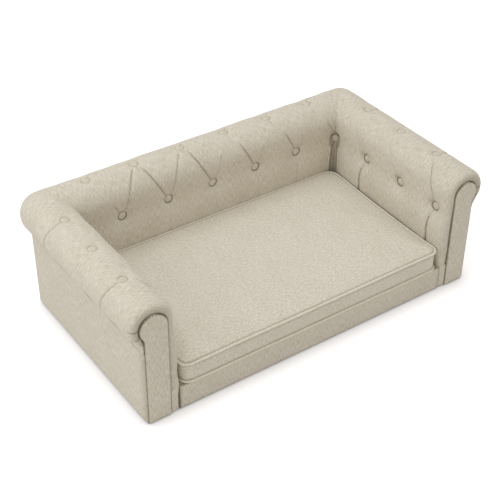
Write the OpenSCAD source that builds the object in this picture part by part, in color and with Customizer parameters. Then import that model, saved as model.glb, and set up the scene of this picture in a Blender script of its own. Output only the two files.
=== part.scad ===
// Tufted roll-arm pet bed: timber frame, boards, foam, tufted covers, loose seat cushion.
// The origin is on the floor under the middle of the whole bed, +Y towards the back.

/* [Body] */
// Width across the outer sides, below the rolls
body_w = 1000; // [900:10:1200]
// Depth from the front panels to the rear cover
body_d = 560; // [500:10:640]
// Height of the glides under the base
foot_h = 4; // [3:1:12]
// Diameter of the glides
glide_d = 22; // [14:1:24]
// Height of the glides' nails above the rail's underside
nail_h = 16; // [10:1:30]

/* [Section through an arm or the back] */
// Thickness of the cover cloth with its backing
cloth_t = 3; // [2:0.5:4]
// Thickness of the outer and inner boards
board_t = 3; // [2:0.5:5]
// Width of the timber frame between the boards
frame_w = 39; // [34:1:50]
// Thickness of the foam slab
foam_t = 21; // [15:1:30]
// Height of the roll's centre
roll_z = 290; // [270:5:330]
// Distance of the roll's centre from the outer face
roll_in = 27; // [22:1:32]
// Radius of the padded roll over its top
roll_r = 57; // [52:1:62]
// Radius of the bent board inside the roll
core_r = 30; // [26:1:32]
// Thickness of the bent board
core_t = 2; // [1:0.5:3]
// Angle at which the roll turns back under its outer side
tuck_angle = 215; // [205:1:225]
// Height of the seam under the roll
seam_z = 219; // [200:1:235]
// Height at which the padding meets the outer board
neck_z = 255; // [245:1:262]

/* [Padding] */
// Padding over the foam, level with the seat
pad_low = 22; // [20:1:30]
// Extra padding of the arms, level with the seat
arm_low = 3; // [0:0.5:5]
// Extra padding of the arms at their fullest
arm_full = 8; // [4:0.5:12]
// Height at which the arms are fullest
full_z = 193; // [170:1:215]
// Padding where the face meets the roll
pad_top = 22; // [18:1:28]
// Length over which the arms' extra padding fades out towards the back
fade_d = 60; // [40:5:90]
// Depth of the rounded edge at the front of the arms
edge_r = 9; // [4:1:12]
// Length of that rounded edge
edge_l = 25; // [15:1:35]

/* [Tufting] */
// Height of the lower button row
low_z = 236; // [215:1:245]
// First button of an arm, from the front
first_tuft = 58.5; // [50:0.5:75]
// Place of the corner button from both outer faces
corner_in = 81; // [78:0.5:86]
// Button spacings along an arm
arm_tufts = 3; // [2:1:4]
// Button spacings along the back
back_tufts = 6; // [4:1:8]
// Diameter of a covered button
button_d = 24; // [18:1:26]
// Height of a covered button
button_h = 7; // [5:0.5:9]
// Height of its rim
rim_h = 2; // [1:0.5:3]
// Cloth and padding left under a lower button
low_tuft_t = 5; // [2:1:14]
// Cloth and padding left under an upper button
up_tuft_t = 5; // [1:0.5:8]
// Depth of the pleats between buttons
pleat = 8; // [2:0.5:12]
// Depth of the pleats below and above the rows
short_pleat = 6; // [2:0.5:8]
// Length over which the pleats above the upper row fade out
fade_l = 120; // [80:5:140]
// Diameter of the button twine
tie_d = 2; // [1.5:0.5:3]

/* [Front panels] */
// Thickness of a front panel with its padding
panel_t = 14; // [12:1:20]
// Thickness of its plywood core
panel_core = 6; // [4:1:8]
// Gap between a panel and the covers round it
panel_gap = 2; // [1:0.5:3]
// How far the covers beside a panel stay behind its face
panel_proud = 5; // [3:1:8]

/* [Base] */
// Height of the seat surface under the cushion
seat_z = 72; // [64:1:90]
// Thickness of the seat deck
deck_t = 6; // [4:1:9]
// Thickness of the rails
rail_t = 18; // [15:1:20]
// Thickness of the dust cover
dust_t = 1; // [0.5:0.5:2]
// How far the front rail cover stays behind the panels
rail_proud = 4; // [2:1:8]
// Number of seat slats
slats = 3; // [1:1:5]
// Width of a seat slat
slat_w = 45; // [30:5:70]
// Leg of a corner block
block_w = 45; // [30:5:60]

/* [Frame] */
// Thickness of the shaped formers
former_t = 12; // [9:1:18]
// Width of the battens
batten_w = 18; // [12:1:18]
// Height of the battens
batten_h = 30; // [20:1:36]
// Diameter of the pole in the roll
pole_d = 24; // [16:1:28]
// How far the back's end formers stand inside the foam's face
former_lap = 9; // [6:1:14]
// Diameter of the frame screws
screw_d = 4; // [3:0.5:5]
// Length of the frame screws
screw_l = 45; // [35:1:60]

/* [Cushion] */
// Height of the cushion over its piping
cushion_h = 71; // [50:1:90]
// Clearance round the cushion
cushion_gap = 0.4; // [0.3:0.1:3]
// How far the cushion stays behind the panels
cushion_proud = 6; // [4:1:20]
// Radius of the front corners
front_corner = 16; // [12:1:40]
// Radius of the back corners
back_corner = 36; // [14:1:60]
// How far the sides are drawn in
drawn_in = 4; // [0:0.5:8]
// Rise of the crowned top above the piping
crown_h = 7; // [0:0.5:14]
// Diameter of the piping
piping_d = 7; // [5:0.5:10]
// Thickness of the top and bottom panels at the edge
skin_t = 3; // [1.5:0.5:4]
// How far the boxing's edges lie inside the piping
boxing_in = 1.5; // [1:0.5:2.5]
// How far the boxing's middle lies inside the piping
boxing_mid = 0.5; // [0.5:0.25:1]

/* [Zip] */
// Distance of the zip's ends from the cushion's sides
zip_end = 80; // [60:5:200]
// Distance of the slider from the zip's end
slider_off = 20; // [15:1:40]
// Height of the zip opening
zip_h = 18; // [16:1:24]
// Depth of the zip behind the piping's edge
zip_in = 18; // [16:1:24]
// Thickness of the zip tape
tape_t = 1.5; // [1:0.5:2]
// Length of the slider
slider_l = 11; // [8:1:16]
// Height of the slider
slider_h = 12; // [8:1:14]
// Diameter of the slider's pin
pin_d = 1.6; // [1.2:0.1:2]
// Thickness of the pull
pull_t = 1.2; // [0.8:0.2:1.6]
// Width of the pull
pull_w = 5; // [4:0.5:7]

/* [Hidden] */
$fn = 48;

cloth_color = "#D6CDB9";
board_color = "#A9855A";
timber_color = "#D9B98A";
foam_color = "#EFE6C4";
metal_color = "#9A9C9E";
felt_color = "#4A4A4C";
twine_color = "#C9BFA4";

// Places across a section, measured inwards from the outer face
frame_out = cloth_t + board_t;
frame_in = frame_out + frame_w;
board_in = frame_in + board_t;
foam_face = board_in + foam_t;
rail_out = frame_in - rail_t;

// The roll
foam_r = foam_face - roll_in;
face_r = foam_r + pad_top;
roll_out = roll_r - roll_in;
core_low_z = roll_z - sqrt(pow(core_r, 2) - pow(board_in - roll_in, 2));
core_out_z = roll_z - sqrt(pow(core_r, 2) - pow(roll_in - cloth_t, 2));

// Places in the room
front_y = -(body_d + roll_out) / 2;
rear_y = front_y + body_d;
under_z = foot_h;
rail_z = foot_h + dust_t;
deck_z = seat_z - cloth_t - deck_t;
mid_z = (seat_z + roll_z - core_r) / 2;
top_batten_z = neck_z - batten_h;

// Tufting
back_pitch = (body_w - 2 * corner_in) / back_tufts;
arm_pitch = (body_d - corner_in - first_tuft) / arm_tufts;
arm_lows = [for (k = [0 : arm_tufts]) first_tuft + k * arm_pitch];
arm_ups = [for (k = [0 : arm_tufts - 1]) first_tuft + (k + 0.5) * arm_pitch];
back_lows = [for (k = [0 : back_tufts]) corner_in + k * back_pitch];
back_ups = [for (k = [0 : back_tufts - 1]) corner_in + (k + 0.5) * back_pitch];
flat_half = button_d / 2;
slack = 1;
low_spread = 0.22;
up_spread = 0.19;
pleat_spread = 0.06;
low_floor = foam_face + low_tuft_t;
up_floor = roll_z + foam_r + up_tuft_t;

// Lengths along the padded surface, from the lower button row
roll_mean = (face_r + roll_r) / 2;
s_roll = roll_z - low_z;
quarter = 90 * PI / 180 * roll_mean;
s_up = s_roll + quarter;
s_tuck = s_roll + tuck_angle * PI / 180 * roll_mean;
tail_l = 40;
tail_bulge = 2;

// Rows of cover points, as shares of the way to the seat, the upper buttons, the roll's outer
// side and the seam
seat_shares = [1, 0.5, 0.28];
face_share = 0.18;
rise_shares = [0.5, 0.66, 0.83];
over_shares = [0.44, 0.74, 1];
tail_shares = [0, 0.45, 1];
s_rows = concat(
  [for (f = seat_shares) (seat_z - low_z) * f],
  [-flat_half, 0, flat_half, s_up * face_share, s_roll],
  [for (f = rise_shares) s_up * f],
  [s_up - flat_half, s_up, s_up + flat_half],
  [for (f = over_shares) s_up + quarter * f],
  [for (f = tail_shares) s_tuck + tail_l * f]);

// Inner side of a tufted cover, one point for each row: the foam's face and roll, then the board
face_rows = len(seat_shares) + 4;
roll_rows = len(s_rows) - 3;
cover_line = concat(
  [for (j = [0 : face_rows]) [foam_face, low_z + s_rows[j]]],
  [for (j = [face_rows + 1 : roll_rows]) roll_point(foam_r, roll_angle(s_rows[j]))],
  [[cloth_t, neck_z], [cloth_t, seam_z]]
);
foam_line = concat([cover_line[0]], [for (j = [face_rows : roll_rows + 1]) cover_line[j]]);

// Cushion
cushion_z = seat_z + cushion_gap;
cushion_top_z = cushion_z + cushion_h;
cushion_half = body_w / 2 - foam_face - pad_low - arm_full - cushion_gap;
cushion_front_y = front_y + cushion_proud;
cushion_back_y = rear_y - foam_face - max(pad_low, pad_top) - cushion_gap;
piping_r = piping_d / 2;
edge_drop = 1;
least_r = 2;

// Crown of the cushion's top: distance from the piping and share of the rise
crown_rings = [[16, 0.3], [50, 0.7], [120, 1]];

// Zip
zip_l = 2 * (cushion_half - zip_end);
zip_z = cushion_z + cushion_h / 2;
slider_gap = 0.3;
slider_t = 2.7;
slider_face = zip_in - slider_gap - slider_t;
pull_gap = 0.5;
pin_in = slider_face - pin_d - pull_gap;
pull_l = pin_in - pull_gap;
lug_gap = 0.4;
lug_t = 1.2;
bore_gap = 0.4;
barrel_t = 0.5;
slider_start = -zip_l / 2 + slider_off;

function roll_point(r, a) = [roll_in + r * cos(a), roll_z + r * sin(a)];
function lerp(a, b, f) = a + (b - a) * f;

// How much of the arms' extra padding is left at u, 1 along the arm and 0 at the mitre
function fullness(u) =
  let (f = (body_d - foam_face - pad_top - u) / fade_d)
  f >= 1 ? 1 : f <= 0 ? 0 : (1 - cos(180 * f)) / 2;

// Padding thickness over the foam face at height z, w being the fullness
function face_pad(z, w) =
  let (low = pad_low + arm_low * w)
  let (full = pad_low + arm_full * w)
  z < full_z
  ? low + (full - low) * sin(90 * (z - seat_z) / (full_z - seat_z))
  : lerp(full, pad_top, 1 - cos(90 * (z - full_z) / (roll_z - full_z)));

// Point of the plump surface at length s, and the way that it faces
function roll_angle(s) = (s - s_roll) / roll_mean * 180 / PI;
function plump(s, w) =
  let (a = roll_angle(s))
  let (tuck = roll_point(roll_r, tuck_angle))
  let (f = (s - s_tuck) / tail_l)
  s <= s_roll ? [foam_face + face_pad(low_z + s, w), low_z + s]
  : a <= 90 ? [roll_in + face_r * cos(a), roll_z + roll_r * sin(a)]
  : f <= 0 ? roll_point(roll_r, a)
  : [lerp(tuck.x, 0, f) + 4 * tail_bulge * f * (1 - f), lerp(tuck.y, seam_z, f)];
function facing(s) =
  s <= s_roll ? [1, 0]
  : s <= s_tuck ? [cos(roll_angle(s)), sin(roll_angle(s))]
  : [0, 0];

// Depth drawn in at (u, s) by the buttons and the pleats that run between them
function bell(x, width) = exp(-pow(x / width, 2));
function off_line(p, a, b) =
  let (f = ((p - a) * (b - a)) / ((b - a) * (b - a)))
  norm(p - a - (b - a) * max(0, min(1, f)));
low_depth = pad_low + arm_full / 2 - low_tuft_t;
up_depth = roll_r - foam_r - up_tuft_t;
function drawn(u, s, lows, ups, pitch) = max(concat(
  [for (b = lows) low_depth * bell(norm([u - b, s]), low_spread * pitch)],
  [for (b = ups) up_depth * bell(norm([u - b, s - s_up]), up_spread * pitch)],
  [for (b = lows, side = [-1, 1])
    pleat * bell(off_line([u, s], [b, 0], [b + side * pitch / 2, s_up]), pleat_spread * pitch)],
  [for (b = lows) s >= 0 ? 0
    : short_pleat * bell(u - b, pleat_spread * pitch) * (1 + s / (low_z - seat_z) / 2)],
  [for (b = ups) s <= s_up ? 0
    : short_pleat * bell(u - b, pleat_spread * pitch) * max(0, 1 - (s - s_up) / fade_l)]
));

// How much the front end of an arm is rounded off
function edge_depth(u) =
  let (f = 1 - (u - panel_proud) / edge_l)
  f <= 0 ? 0 : edge_r * (1 - sqrt(1 - f * f));

function near(x, list, reach) = len([for (b = list) if (abs(x - b) < reach) b]) > 0;

// One point of a tufted cover. A column is [u, side, f]: side is 0 along the wall, 1 or -1 where
// the column leans over towards the far or near mitre by the share f.
function cover_point(col, s, length, arm, lows, ups, pitch) =
  let (w = arm ? fullness(col[0]) : 0)
  let (mitre = col[1] != 0)
  let (corner = mitre && abs(s) <= flat_half && col[2] > 0.5)
  let (lean = flat_half / sqrt(2) * min(1, 3 * (1 - col[2])))
  let (u_far = col[1] > 0 ? length - plump(s, 0).x : plump(s, 0).x)
  let (u_plan = mitre ? lerp(col[0], u_far, col[2]) : col[0])
  let (depth = max(drawn(u_plan, s, lows, ups, pitch), 0) + (arm ? edge_depth(u_plan) : 0))
  let (p = plump(s, w * (mitre ? 1 - col[2] : 1)) - facing(s) * depth)
  let (on_low = !mitre && abs(s) <= flat_half && near(u_plan, lows, flat_half + slack))
  let (on_up = !mitre && abs(s - s_up) <= flat_half && near(u_plan, ups, flat_half + slack))
  let (q = corner ? [corner_in - lean, p.y]
    : on_low ? [low_floor, p.y]
    : on_up ? [p.x, up_floor]
    : p)
  let (far_u0 = col[1] > 0 ? col[0] : length - col[0])
  let (place = corner ? [q.x, length - corner_in - lean]
    : turned(q.x, far_u0, col[2], length, corner_r(q.x, s)))
  !mitre ? [q.x, col[0], q.y]
  : [place.x, col[1] > 0 ? place.y : length - place.y, q.y];

// Radius on which a point of the roll's outer side turns the back corner: a ball round the
// roll's centre that shrinks to a sharp corner at the seam
function corner_r(x, s) = max(0, roll_in - x) * (1 - max(0, min(1, (s - s_tuck) / tail_l)));

// Place [x, u] at the share f of the way from u0 to the mitre, for a point x deep in the wall
function turned(x, u0, f, length, r) =
  let (straight = length - x - r)
  let (way = lerp(u0, straight + r * mitre_angle * PI / 180, f))
  let (a = r > 0 ? max(0, way - straight) / r * 180 / PI : 0)
  a > 0 ? [x + r * (1 - cos(a)), straight + r * sin(a)] : [x, way];

// A tufted cover: the grid of cover points outside, the foam's face and roll inside. Point
// numbers run column by column, first outside, then along the seat and seam edges, then through
// the lining's few columns, then the middles of its two flat strips.
module cover_shell(cols, lining_cols, length, arm, lows, ups, pitch) {
  rows = len(s_rows);
  last = len(cols) - 1;
  lining_last = len(lining_cols) - 1;
  seat = len(cols) * rows;
  seam = seat + len(cols);
  inside = seam + len(cols);
  face_mid = inside + len(lining_cols) * rows;
  tail_mid = face_mid + 1;
  function edge_u(i, x) = cols[i][1] == 0 ? cols[i][0]
    : lerp(cols[i][0], cols[i][1] > 0 ? length - x : x, cols[i][2]);
  outer_points = [for (col = cols, s = s_rows) cover_point(col, s, length, arm, lows, ups, pitch)];
  seat_points = [for (i = [0 : last]) [foam_face, edge_u(i, foam_face), seat_z]];
  seam_points = [for (i = [0 : last]) [cloth_t, edge_u(i, cloth_t), seam_z]];
  // Columns of the lining are [side, angle]: 0 is the plain end, and the others turn a corner
  function lining_point(col, j) =
    let (p = cover_line[j])
    let (deep = roll_in - p.x)
    let (r = j > roll_rows || deep < hair ? 0 : deep)
    let (x = p.x + r * (1 - cos(col[1])))
    let (u = length - p.x - r + (r > 0 ? r * sin(col[1]) : hair * (col[1] / mitre_angle - 1)))
    col[0] == 0 ? [p.x, panel_proud, p.y] : [x, col[0] > 0 ? u : length - u, p.y];
  lining_points = [for (col = lining_cols, j = [0 : rows - 1]) lining_point(col, j)];
  mid_points = [[foam_face, length / 2, (seat_z + roll_z) / 2],
    [cloth_t, length / 2, (neck_z + seam_z) / 2]];
  // The end rows of the lining use the same points as the seat and seam edges
  function lining(c, j) = j == 0 ? seat + (c == 0 ? 0 : last)
    : j == rows - 1 ? seam + (c == 0 ? 0 : last) : inside + c * rows + j;
  function quad(a, b, c, d) = [[a, b, c], [a, c, d]];
  grid = [for (i = [0 : last - 1], j = [0 : rows - 2]) each
    (i + j) % 2 == 0
    ? quad(i * rows + j, i * rows + j + 1, (i + 1) * rows + j + 1, (i + 1) * rows + j)
    : quad(i * rows + j + 1, (i + 1) * rows + j + 1, (i + 1) * rows + j, i * rows + j)];
  edges = [for (i = [0 : last - 1]) each concat(
    quad((i + 1) * rows, seat + i + 1, seat + i, i * rows),
    quad(i * rows + rows - 1, seam + i, seam + i + 1, (i + 1) * rows + rows - 1))];
  caps = [for (j = [0 : rows - 2]) each concat(
    quad(j, lining(0, j), lining(0, j + 1), j + 1),
    quad(last * rows + j + 1, lining(lining_last, j + 1), lining(lining_last, j),
      last * rows + j))];
  roll_lining = [for (c = [0 : lining_last - 1], j = [face_rows : rows - 3]) each
    quad(lining(c, j), lining(c + 1, j), lining(c + 1, j + 1), lining(c, j + 1))];
  face_ring = concat([for (i = [0 : last]) seat + i],
    [for (j = [1 : face_rows]) lining(lining_last, j)],
    [for (c = [lining_last - 1 : -1 : 1]) lining(c, face_rows)],
    [for (j = [face_rows : -1 : 1]) lining(0, j)]);
  tail_ring = concat([for (c = [0 : lining_last]) lining(c, rows - 2)],
    [for (i = [last : -1 : 0]) seam + i]);
  function fan(mid, ring) =
    [for (k = [0 : len(ring) - 1]) [mid, ring[k], ring[(k + 1) % len(ring)]]];
  polyhedron(
    points = concat(outer_points, seat_points, seam_points, lining_points, mid_points),
    faces = concat(grid, edges, caps, roll_lining, fan(face_mid, face_ring),
      fan(tail_mid, tail_ring)),
    convexity = 10);
}

// Columns of cover points, and of the lining's points, which turn the back corners too
fan_shares = [1 / 3, 2 / 3, 0.78, 0.89, 1];
mitre_angle = 45;
hair = 0.5;
turns = [for (k = [0 : 2]) k * mitre_angle / 2];
arm_far = body_d - corner_in - arm_pitch / 4;
back_near = corner_in + back_pitch / 4;
function reversed(list) = [for (k = [len(list) - 1 : -1 : 0]) list[k]];
arm_lining_cols = concat([[0, 0]], [for (a = turns) [1, a]]);
back_lining_cols = concat([for (a = reversed(turns)) [-1, a]], [for (a = turns) [1, a]]);
arm_cols = concat(
  [for (f = [0, 0.35, 1]) [panel_proud + f * edge_l, 0, 0]],
  [for (k = [0 : 2 * arm_tufts - 1], d = [-flat_half, 0, flat_half, arm_pitch / 4])
    [first_tuft + k * arm_pitch / 2 + d, 0, 0]],
  [for (f = fan_shares) [arm_far, 1, f]]
);
back_cols = concat(
  [for (f = reversed(fan_shares)) [back_near, -1, f]],
  [[back_near, 0, 0]],
  [for (k = [1 : 2 * back_tufts - 1], d = [-flat_half, 0, flat_half, back_pitch / 4])
    [corner_in + k * back_pitch / 2 + d, 0, 0]],
  [for (f = fan_shares) [body_w - back_near, 1, f]]
);

// Walls: inside each, x runs inwards from the outer face, y along the wall, z up
module left_wall() translate([-body_w / 2, front_y, 0]) children();
module right_wall() mirror([1, 0, 0]) left_wall() children();
module back_wall() translate([-body_w / 2, rear_y, 0]) rotate([0, 0, -90]) children();

// A section drawn in x and z, run along a wall from u0 to u1
module along(u0, u1) translate([0, u1, 0]) rotate([90, 0, 0]) linear_extrude(u1 - u0) children();
module box(x0, x1, y0, y1, z0, z1) translate([x0, y0, z0]) cube([x1 - x0, y1 - y0, z1 - z0]);

// Mitres at the back corners
reach = 80;
module arm_share() linear_extrude(2 * roll_z) polygon([
  [-reach, 0], [2 * reach, 0], [2 * reach, body_d - 2 * reach], [-reach, body_d + reach]]);
module back_share() linear_extrude(2 * roll_z) polygon([
  [-reach, -reach], [2 * reach, 2 * reach], [2 * reach, body_w - 2 * reach],
  [-reach, body_w + reach]]);

// Space beyond the roll's centre in a back corner: the boards end at it, and the foam keeps a
// ball there
ball_gap = 3.5;
module corner_space(length) translate([roll_in, length - roll_in, roll_z])
  box(-2 * roll_r, 0, 0, 2 * roll_r, -roll_r, 2 * roll_r);
module foam_corner_space(length) difference() {
  corner_space(length);
  translate([roll_in, length - roll_in, roll_z]) sphere(foam_r - ball_gap);
}

// Sections
module roll_circle(r) translate([roll_in, roll_z]) circle(r);
module former_section() difference() {
  union() {
    translate([frame_out, rail_z]) square([frame_w, core_low_z - rail_z]);
    roll_circle(core_r - core_t);
  }
  translate([rail_out, 0]) square([rail_t, deck_z + deck_t]);
  roll_circle(pole_d / 2);
}
module batten_section(x, z) translate([x, z]) square([batten_w, batten_h]);
module foam_section() difference() {
  polygon(concat(foam_line,
    [[cloth_t, core_out_z], [roll_in, roll_z], [board_in, core_low_z], [board_in, seat_z]]));
  roll_circle(core_r);
}
module core_section() intersection() {
  difference() {
    roll_circle(core_r);
    roll_circle(core_r - core_t);
  }
  polygon([[cloth_t, core_out_z], [roll_in, roll_z], [board_in, core_low_z],
    [2 * board_in, core_low_z], [2 * board_in, 2 * roll_z], [-board_in, 2 * roll_z],
    [-board_in, core_out_z]]);
}

// Frame screws run along an arm through a former into a batten's end
screw_places = [[frame_out + batten_w / 2, mid_z + batten_h / 2],
  [frame_in - batten_w / 2, mid_z + batten_h / 2],
  [frame_out + batten_w / 2, top_batten_z + batten_h / 2]];
head_h = screw_d / 2;
module screw_shape() {
  cylinder(h = screw_l, d = screw_d);
  cylinder(h = head_h, d1 = 2 * screw_d, d2 = screw_d);
}
rear_former_u = body_d - frame_out - batten_w;
module arm_screws() for (p = screw_places) {
  translate([p.x, panel_t, p.y]) rotate([-90, 0, 0]) screw_shape();
  translate([p.x, rear_former_u, p.y]) rotate([90, 0, 0]) screw_shape();
}

// Panel screws run from behind the front former into the panel's core
panel_screw_places = [[(frame_out + rail_out) / 2, seat_z / 2],
  [roll_in - batten_w / 4, mid_z - batten_h],
  [roll_in, roll_z + (core_r - core_t + pole_d / 2) / 2]];
screw_end = 1;
panel_screw_l = former_t + panel_core - screw_end;
module arm_panel_screws() for (p = panel_screw_places)
  translate([p.x, panel_t + former_t, p.y]) rotate([90, 0, 0]) {
    cylinder(h = panel_screw_l, d = screw_d);
    cylinder(h = head_h, d1 = 2 * screw_d, d2 = screw_d);
  }

glide_x = body_w / 2 - frame_in + rail_t / 2;
glide_rows = [front_y + panel_t + rail_t / 2, rear_y - frame_in + rail_t / 2];
module glide_places() for (x = [-glide_x, 0, glide_x], y = glide_rows)
  translate([x, y, 0]) children();

// Base
module front_rail() color(timber_color) difference() {
  box(-body_w / 2 + rail_out, body_w / 2 - rail_out, front_y + panel_t, front_y + panel_t + rail_t,
    rail_z, deck_z);
  glide_nails();
}
module rear_rail() color(timber_color) difference() {
  box(-body_w / 2 + rail_out, body_w / 2 - rail_out, rear_y - frame_in, rear_y - rail_out,
    rail_z, deck_z);
  glide_nails();
}
module side_rail() color(timber_color)
  box(rail_out, frame_in, panel_t + rail_t, body_d - frame_in, rail_z, deck_z);
module seat_slats() color(timber_color) for (k = [1 : slats])
  let (x = -body_w / 2 + frame_in + k * (body_w - 2 * frame_in) / (slats + 1))
  box(x - slat_w / 2, x + slat_w / 2, front_y + panel_t + rail_t, rear_y - frame_in,
    deck_z - rail_t, deck_z);
module corner_blocks() color(timber_color) for (sx = [0, 1], sy = [0, 1])
  let (y0 = front_y + panel_t + rail_t)
  let (y1 = rear_y - frame_in)
  mirror([sx, 0, 0]) translate([-body_w / 2 + frame_in, sy == 0 ? y0 : y1, rail_z])
  mirror([0, sy, 0]) linear_extrude(deck_z - rail_z)
  polygon([[0, 0], [block_w, 0], [0, block_w]]);
module seat_deck() color(board_color)
  box(-body_w / 2 + rail_out, body_w / 2 - rail_out, front_y + panel_t, rear_y - rail_out,
    deck_z, deck_z + deck_t);
module deck_cloth() color(felt_color)
  box(-body_w / 2 + board_in, body_w / 2 - board_in, front_y + panel_t, rear_y - board_in,
    seat_z - cloth_t, seat_z);
strip_in = foam_face + pad_low;
module front_rail_cover() color(cloth_color)
  box(-body_w / 2 + strip_in, body_w / 2 - strip_in, front_y + rail_proud, front_y + panel_t,
    under_z, seat_z);
module dust_cover() color(felt_color) difference() {
  box(-body_w / 2 + frame_out, body_w / 2 - frame_out, front_y + panel_t, rear_y - frame_out,
    under_z, rail_z);
  glide_nails();
}
module foot_glides() color(felt_color) glide_places() difference() {
  cylinder(h = foot_h, d = glide_d);
  cylinder(h = foot_h, d = screw_d);
}
module glide_nails() color(metal_color) glide_places()
  translate([0, 0, foot_h / 2]) cylinder(h = foot_h / 2 + dust_t + nail_h, d = screw_d);

// Arms
module front_former() color(board_color) difference() {
  along(panel_t, panel_t + former_t) former_section();
  arm_screws();
  arm_panel_screws();
}
module rear_former() color(board_color) difference() {
  along(rear_former_u - former_t, rear_former_u) former_section();
  arm_screws();
}
module arm_battens() color(timber_color) difference() {
  union() {
    along(panel_t + former_t, rear_former_u - former_t) batten_section(frame_out, mid_z);
    along(panel_t + former_t, rear_former_u - former_t) batten_section(frame_in - batten_w, mid_z);
    along(panel_t + former_t, rear_former_u - former_t) batten_section(frame_out, top_batten_z);
    along(panel_t, rear_former_u) roll_circle(pole_d / 2);
  }
  arm_screws();
}
module arm_outer_board() color(board_color)
  box(cloth_t, frame_out, panel_t, body_d - cloth_t, rail_z, core_out_z);
module arm_inner_board() color(board_color) difference() {
  box(frame_in, board_in, panel_t, body_d - board_in, deck_z + deck_t, core_low_z);
  arm_low_ties();
}
module arm_roll_board() color(board_color) difference() {
  intersection() {
    along(panel_t, body_d + reach) core_section();
    arm_share();
  }
  corner_space(body_d);
  arm_up_ties();
}
module arm_foam() color(foam_color) difference() {
  intersection() {
    along(panel_t, body_d + reach) foam_section();
    arm_share();
  }
  foam_corner_space(body_d);
  arm_low_ties();
  arm_up_ties();
}
module arm_tufted_cover() color(cloth_color) difference() {
  union() {
    cover_shell(arm_cols, arm_lining_cols, body_d, true, arm_lows, arm_ups, arm_pitch);
    front_strip();
  }
  tie_holes([for (k = [0 : arm_tufts - 1]) arm_lows[k]], arm_ups);
}
// The arm cover's lower front, pulled down over the rail between panel and seat
strip_r = panel_t - panel_proud;
module front_strip() translate([0, 0, under_z]) linear_extrude(seat_z - under_z)
  polygon(concat([[foam_face, panel_t], [foam_face, panel_proud]],
    [for (a = [0 : 30 : 90])
      [strip_in - strip_r * (1 - sin(a)), panel_t - strip_r * cos(a)]]));
module arm_outer_cover() color(cloth_color)
  box(0, cloth_t, rail_proud, body_d, under_z, seam_z);

// Front panels
module panel_section(inset) {
  r = foam_r - panel_gap - inset;
  turn = roll_point(r, tuck_angle);
  out = cloth_t + panel_gap + inset;
  union() {
    roll_circle(r);
    polygon([[out, under_z + inset], [roll_in + r, under_z + inset],
      [roll_in + r, roll_z], [roll_in, roll_z], turn, [out, neck_z + inset]]);
  }
}
module panel_core_solid() along(panel_t - panel_core, panel_t) panel_section(cloth_t);
module panel_core() color(board_color) difference() {
  panel_core_solid();
  arm_panel_screws();
}
module panel_cover() color(cloth_color) difference() {
  along(0, panel_t) panel_section(0);
  panel_core_solid();
}

// Buttons and their twine
dome_h = button_h - rim_h;
dome_r = (pow(button_d / 2, 2) + pow(dome_h, 2)) / (2 * dome_h);
module button() rotate_extrude() intersection() {
  translate([0, button_h - dome_r]) circle(dome_r, $fn = 96);
  square([button_d / 2, button_h]);
}
module low_button(u) translate([low_floor, u, low_z]) rotate([0, 90, 0]) button();
module up_button(u) translate([roll_in, u, up_floor]) button();
tie_gap = 0.3;
module low_tie(u) translate([frame_in, u, low_z]) rotate([0, 90, 0])
  cylinder(h = low_floor - frame_in - tie_gap, d = tie_d);
module up_tie(u) translate([roll_in, u, roll_z + core_r - core_t])
  cylinder(h = up_floor - roll_z - core_r + core_t - tie_gap, d = tie_d);

// Holes in a cover round the ties, reaching past its inner face and a button's floor
module tie_holes(low_us, up_us) {
  for (u = low_us) translate([foam_face - slack, u, low_z]) rotate([0, 90, 0])
    cylinder(h = low_tuft_t + 2 * slack, d = tie_d + 2 * tie_gap);
  for (u = up_us) translate([roll_in, u, roll_z + foam_r - slack])
    cylinder(h = up_tuft_t + 2 * slack, d = tie_d + 2 * tie_gap);
}
module corner_button(side)
  translate([side * (body_w / 2 - corner_in), rear_y - corner_in, low_z])
  rotate([0, 90, side < 0 ? -45 : -135]) button();
module arm_buttons() color(cloth_color) {
  for (k = [0 : arm_tufts - 1]) low_button(arm_lows[k]);
  for (u = arm_ups) up_button(u);
}
module arm_low_ties() for (k = [0 : arm_tufts - 1]) low_tie(arm_lows[k]);
module arm_up_ties() for (u = arm_ups) up_tie(u);
module arm_ties() color(twine_color) {
  arm_low_ties();
  arm_up_ties();
}

// Back
end_former_u = foam_face - former_lap;
module back_formers() color(board_color) difference() {
  for (u = [end_former_u, (body_w - former_t) / 2, body_w - end_former_u - former_t])
    along(u, u + former_t) former_section();
  back_batten_solids();
}
module back_batten_solids() {
  along(frame_out, body_w - frame_out) batten_section(frame_out, mid_z);
  along(frame_in, body_w - frame_in) batten_section(frame_in - batten_w, mid_z);
  along(frame_out, body_w - frame_out) batten_section(frame_out, top_batten_z);
  along(end_former_u, body_w - end_former_u) roll_circle(pole_d / 2);
}
module back_battens() color(timber_color) back_batten_solids();
module back_outer_board() color(board_color)
  box(cloth_t, frame_out, frame_out, body_w - frame_out, rail_z, core_out_z);
module back_inner_board() color(board_color) difference() {
  box(frame_in, board_in, frame_in, body_w - frame_in, deck_z + deck_t, core_low_z);
  back_low_ties();
}
module back_roll_board() color(board_color) difference() {
  intersection() {
    along(-reach, body_w + reach) core_section();
    back_share();
  }
  both_ends() corner_space(body_w);
  back_up_ties();
}
module back_foam() color(foam_color) difference() {
  intersection() {
    along(-reach, body_w + reach) foam_section();
    back_share();
  }
  both_ends() foam_corner_space(body_w);
  back_low_ties();
  back_up_ties();
}
module both_ends() {
  children();
  translate([0, body_w, 0]) mirror([0, 1, 0]) children();
}
module back_low_ties() for (k = [1 : back_tufts - 1]) low_tie(back_lows[k]);
module back_up_ties() for (u = back_ups) up_tie(u);
module back_ties() color(twine_color) {
  back_low_ties();
  back_up_ties();
}
module back_tufted_cover() color(cloth_color) difference() {
  cover_shell(back_cols, back_lining_cols, body_w, false, back_lows, back_ups, back_pitch);
  tie_holes([for (k = [1 : back_tufts - 1]) back_lows[k]], back_ups);
}
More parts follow.
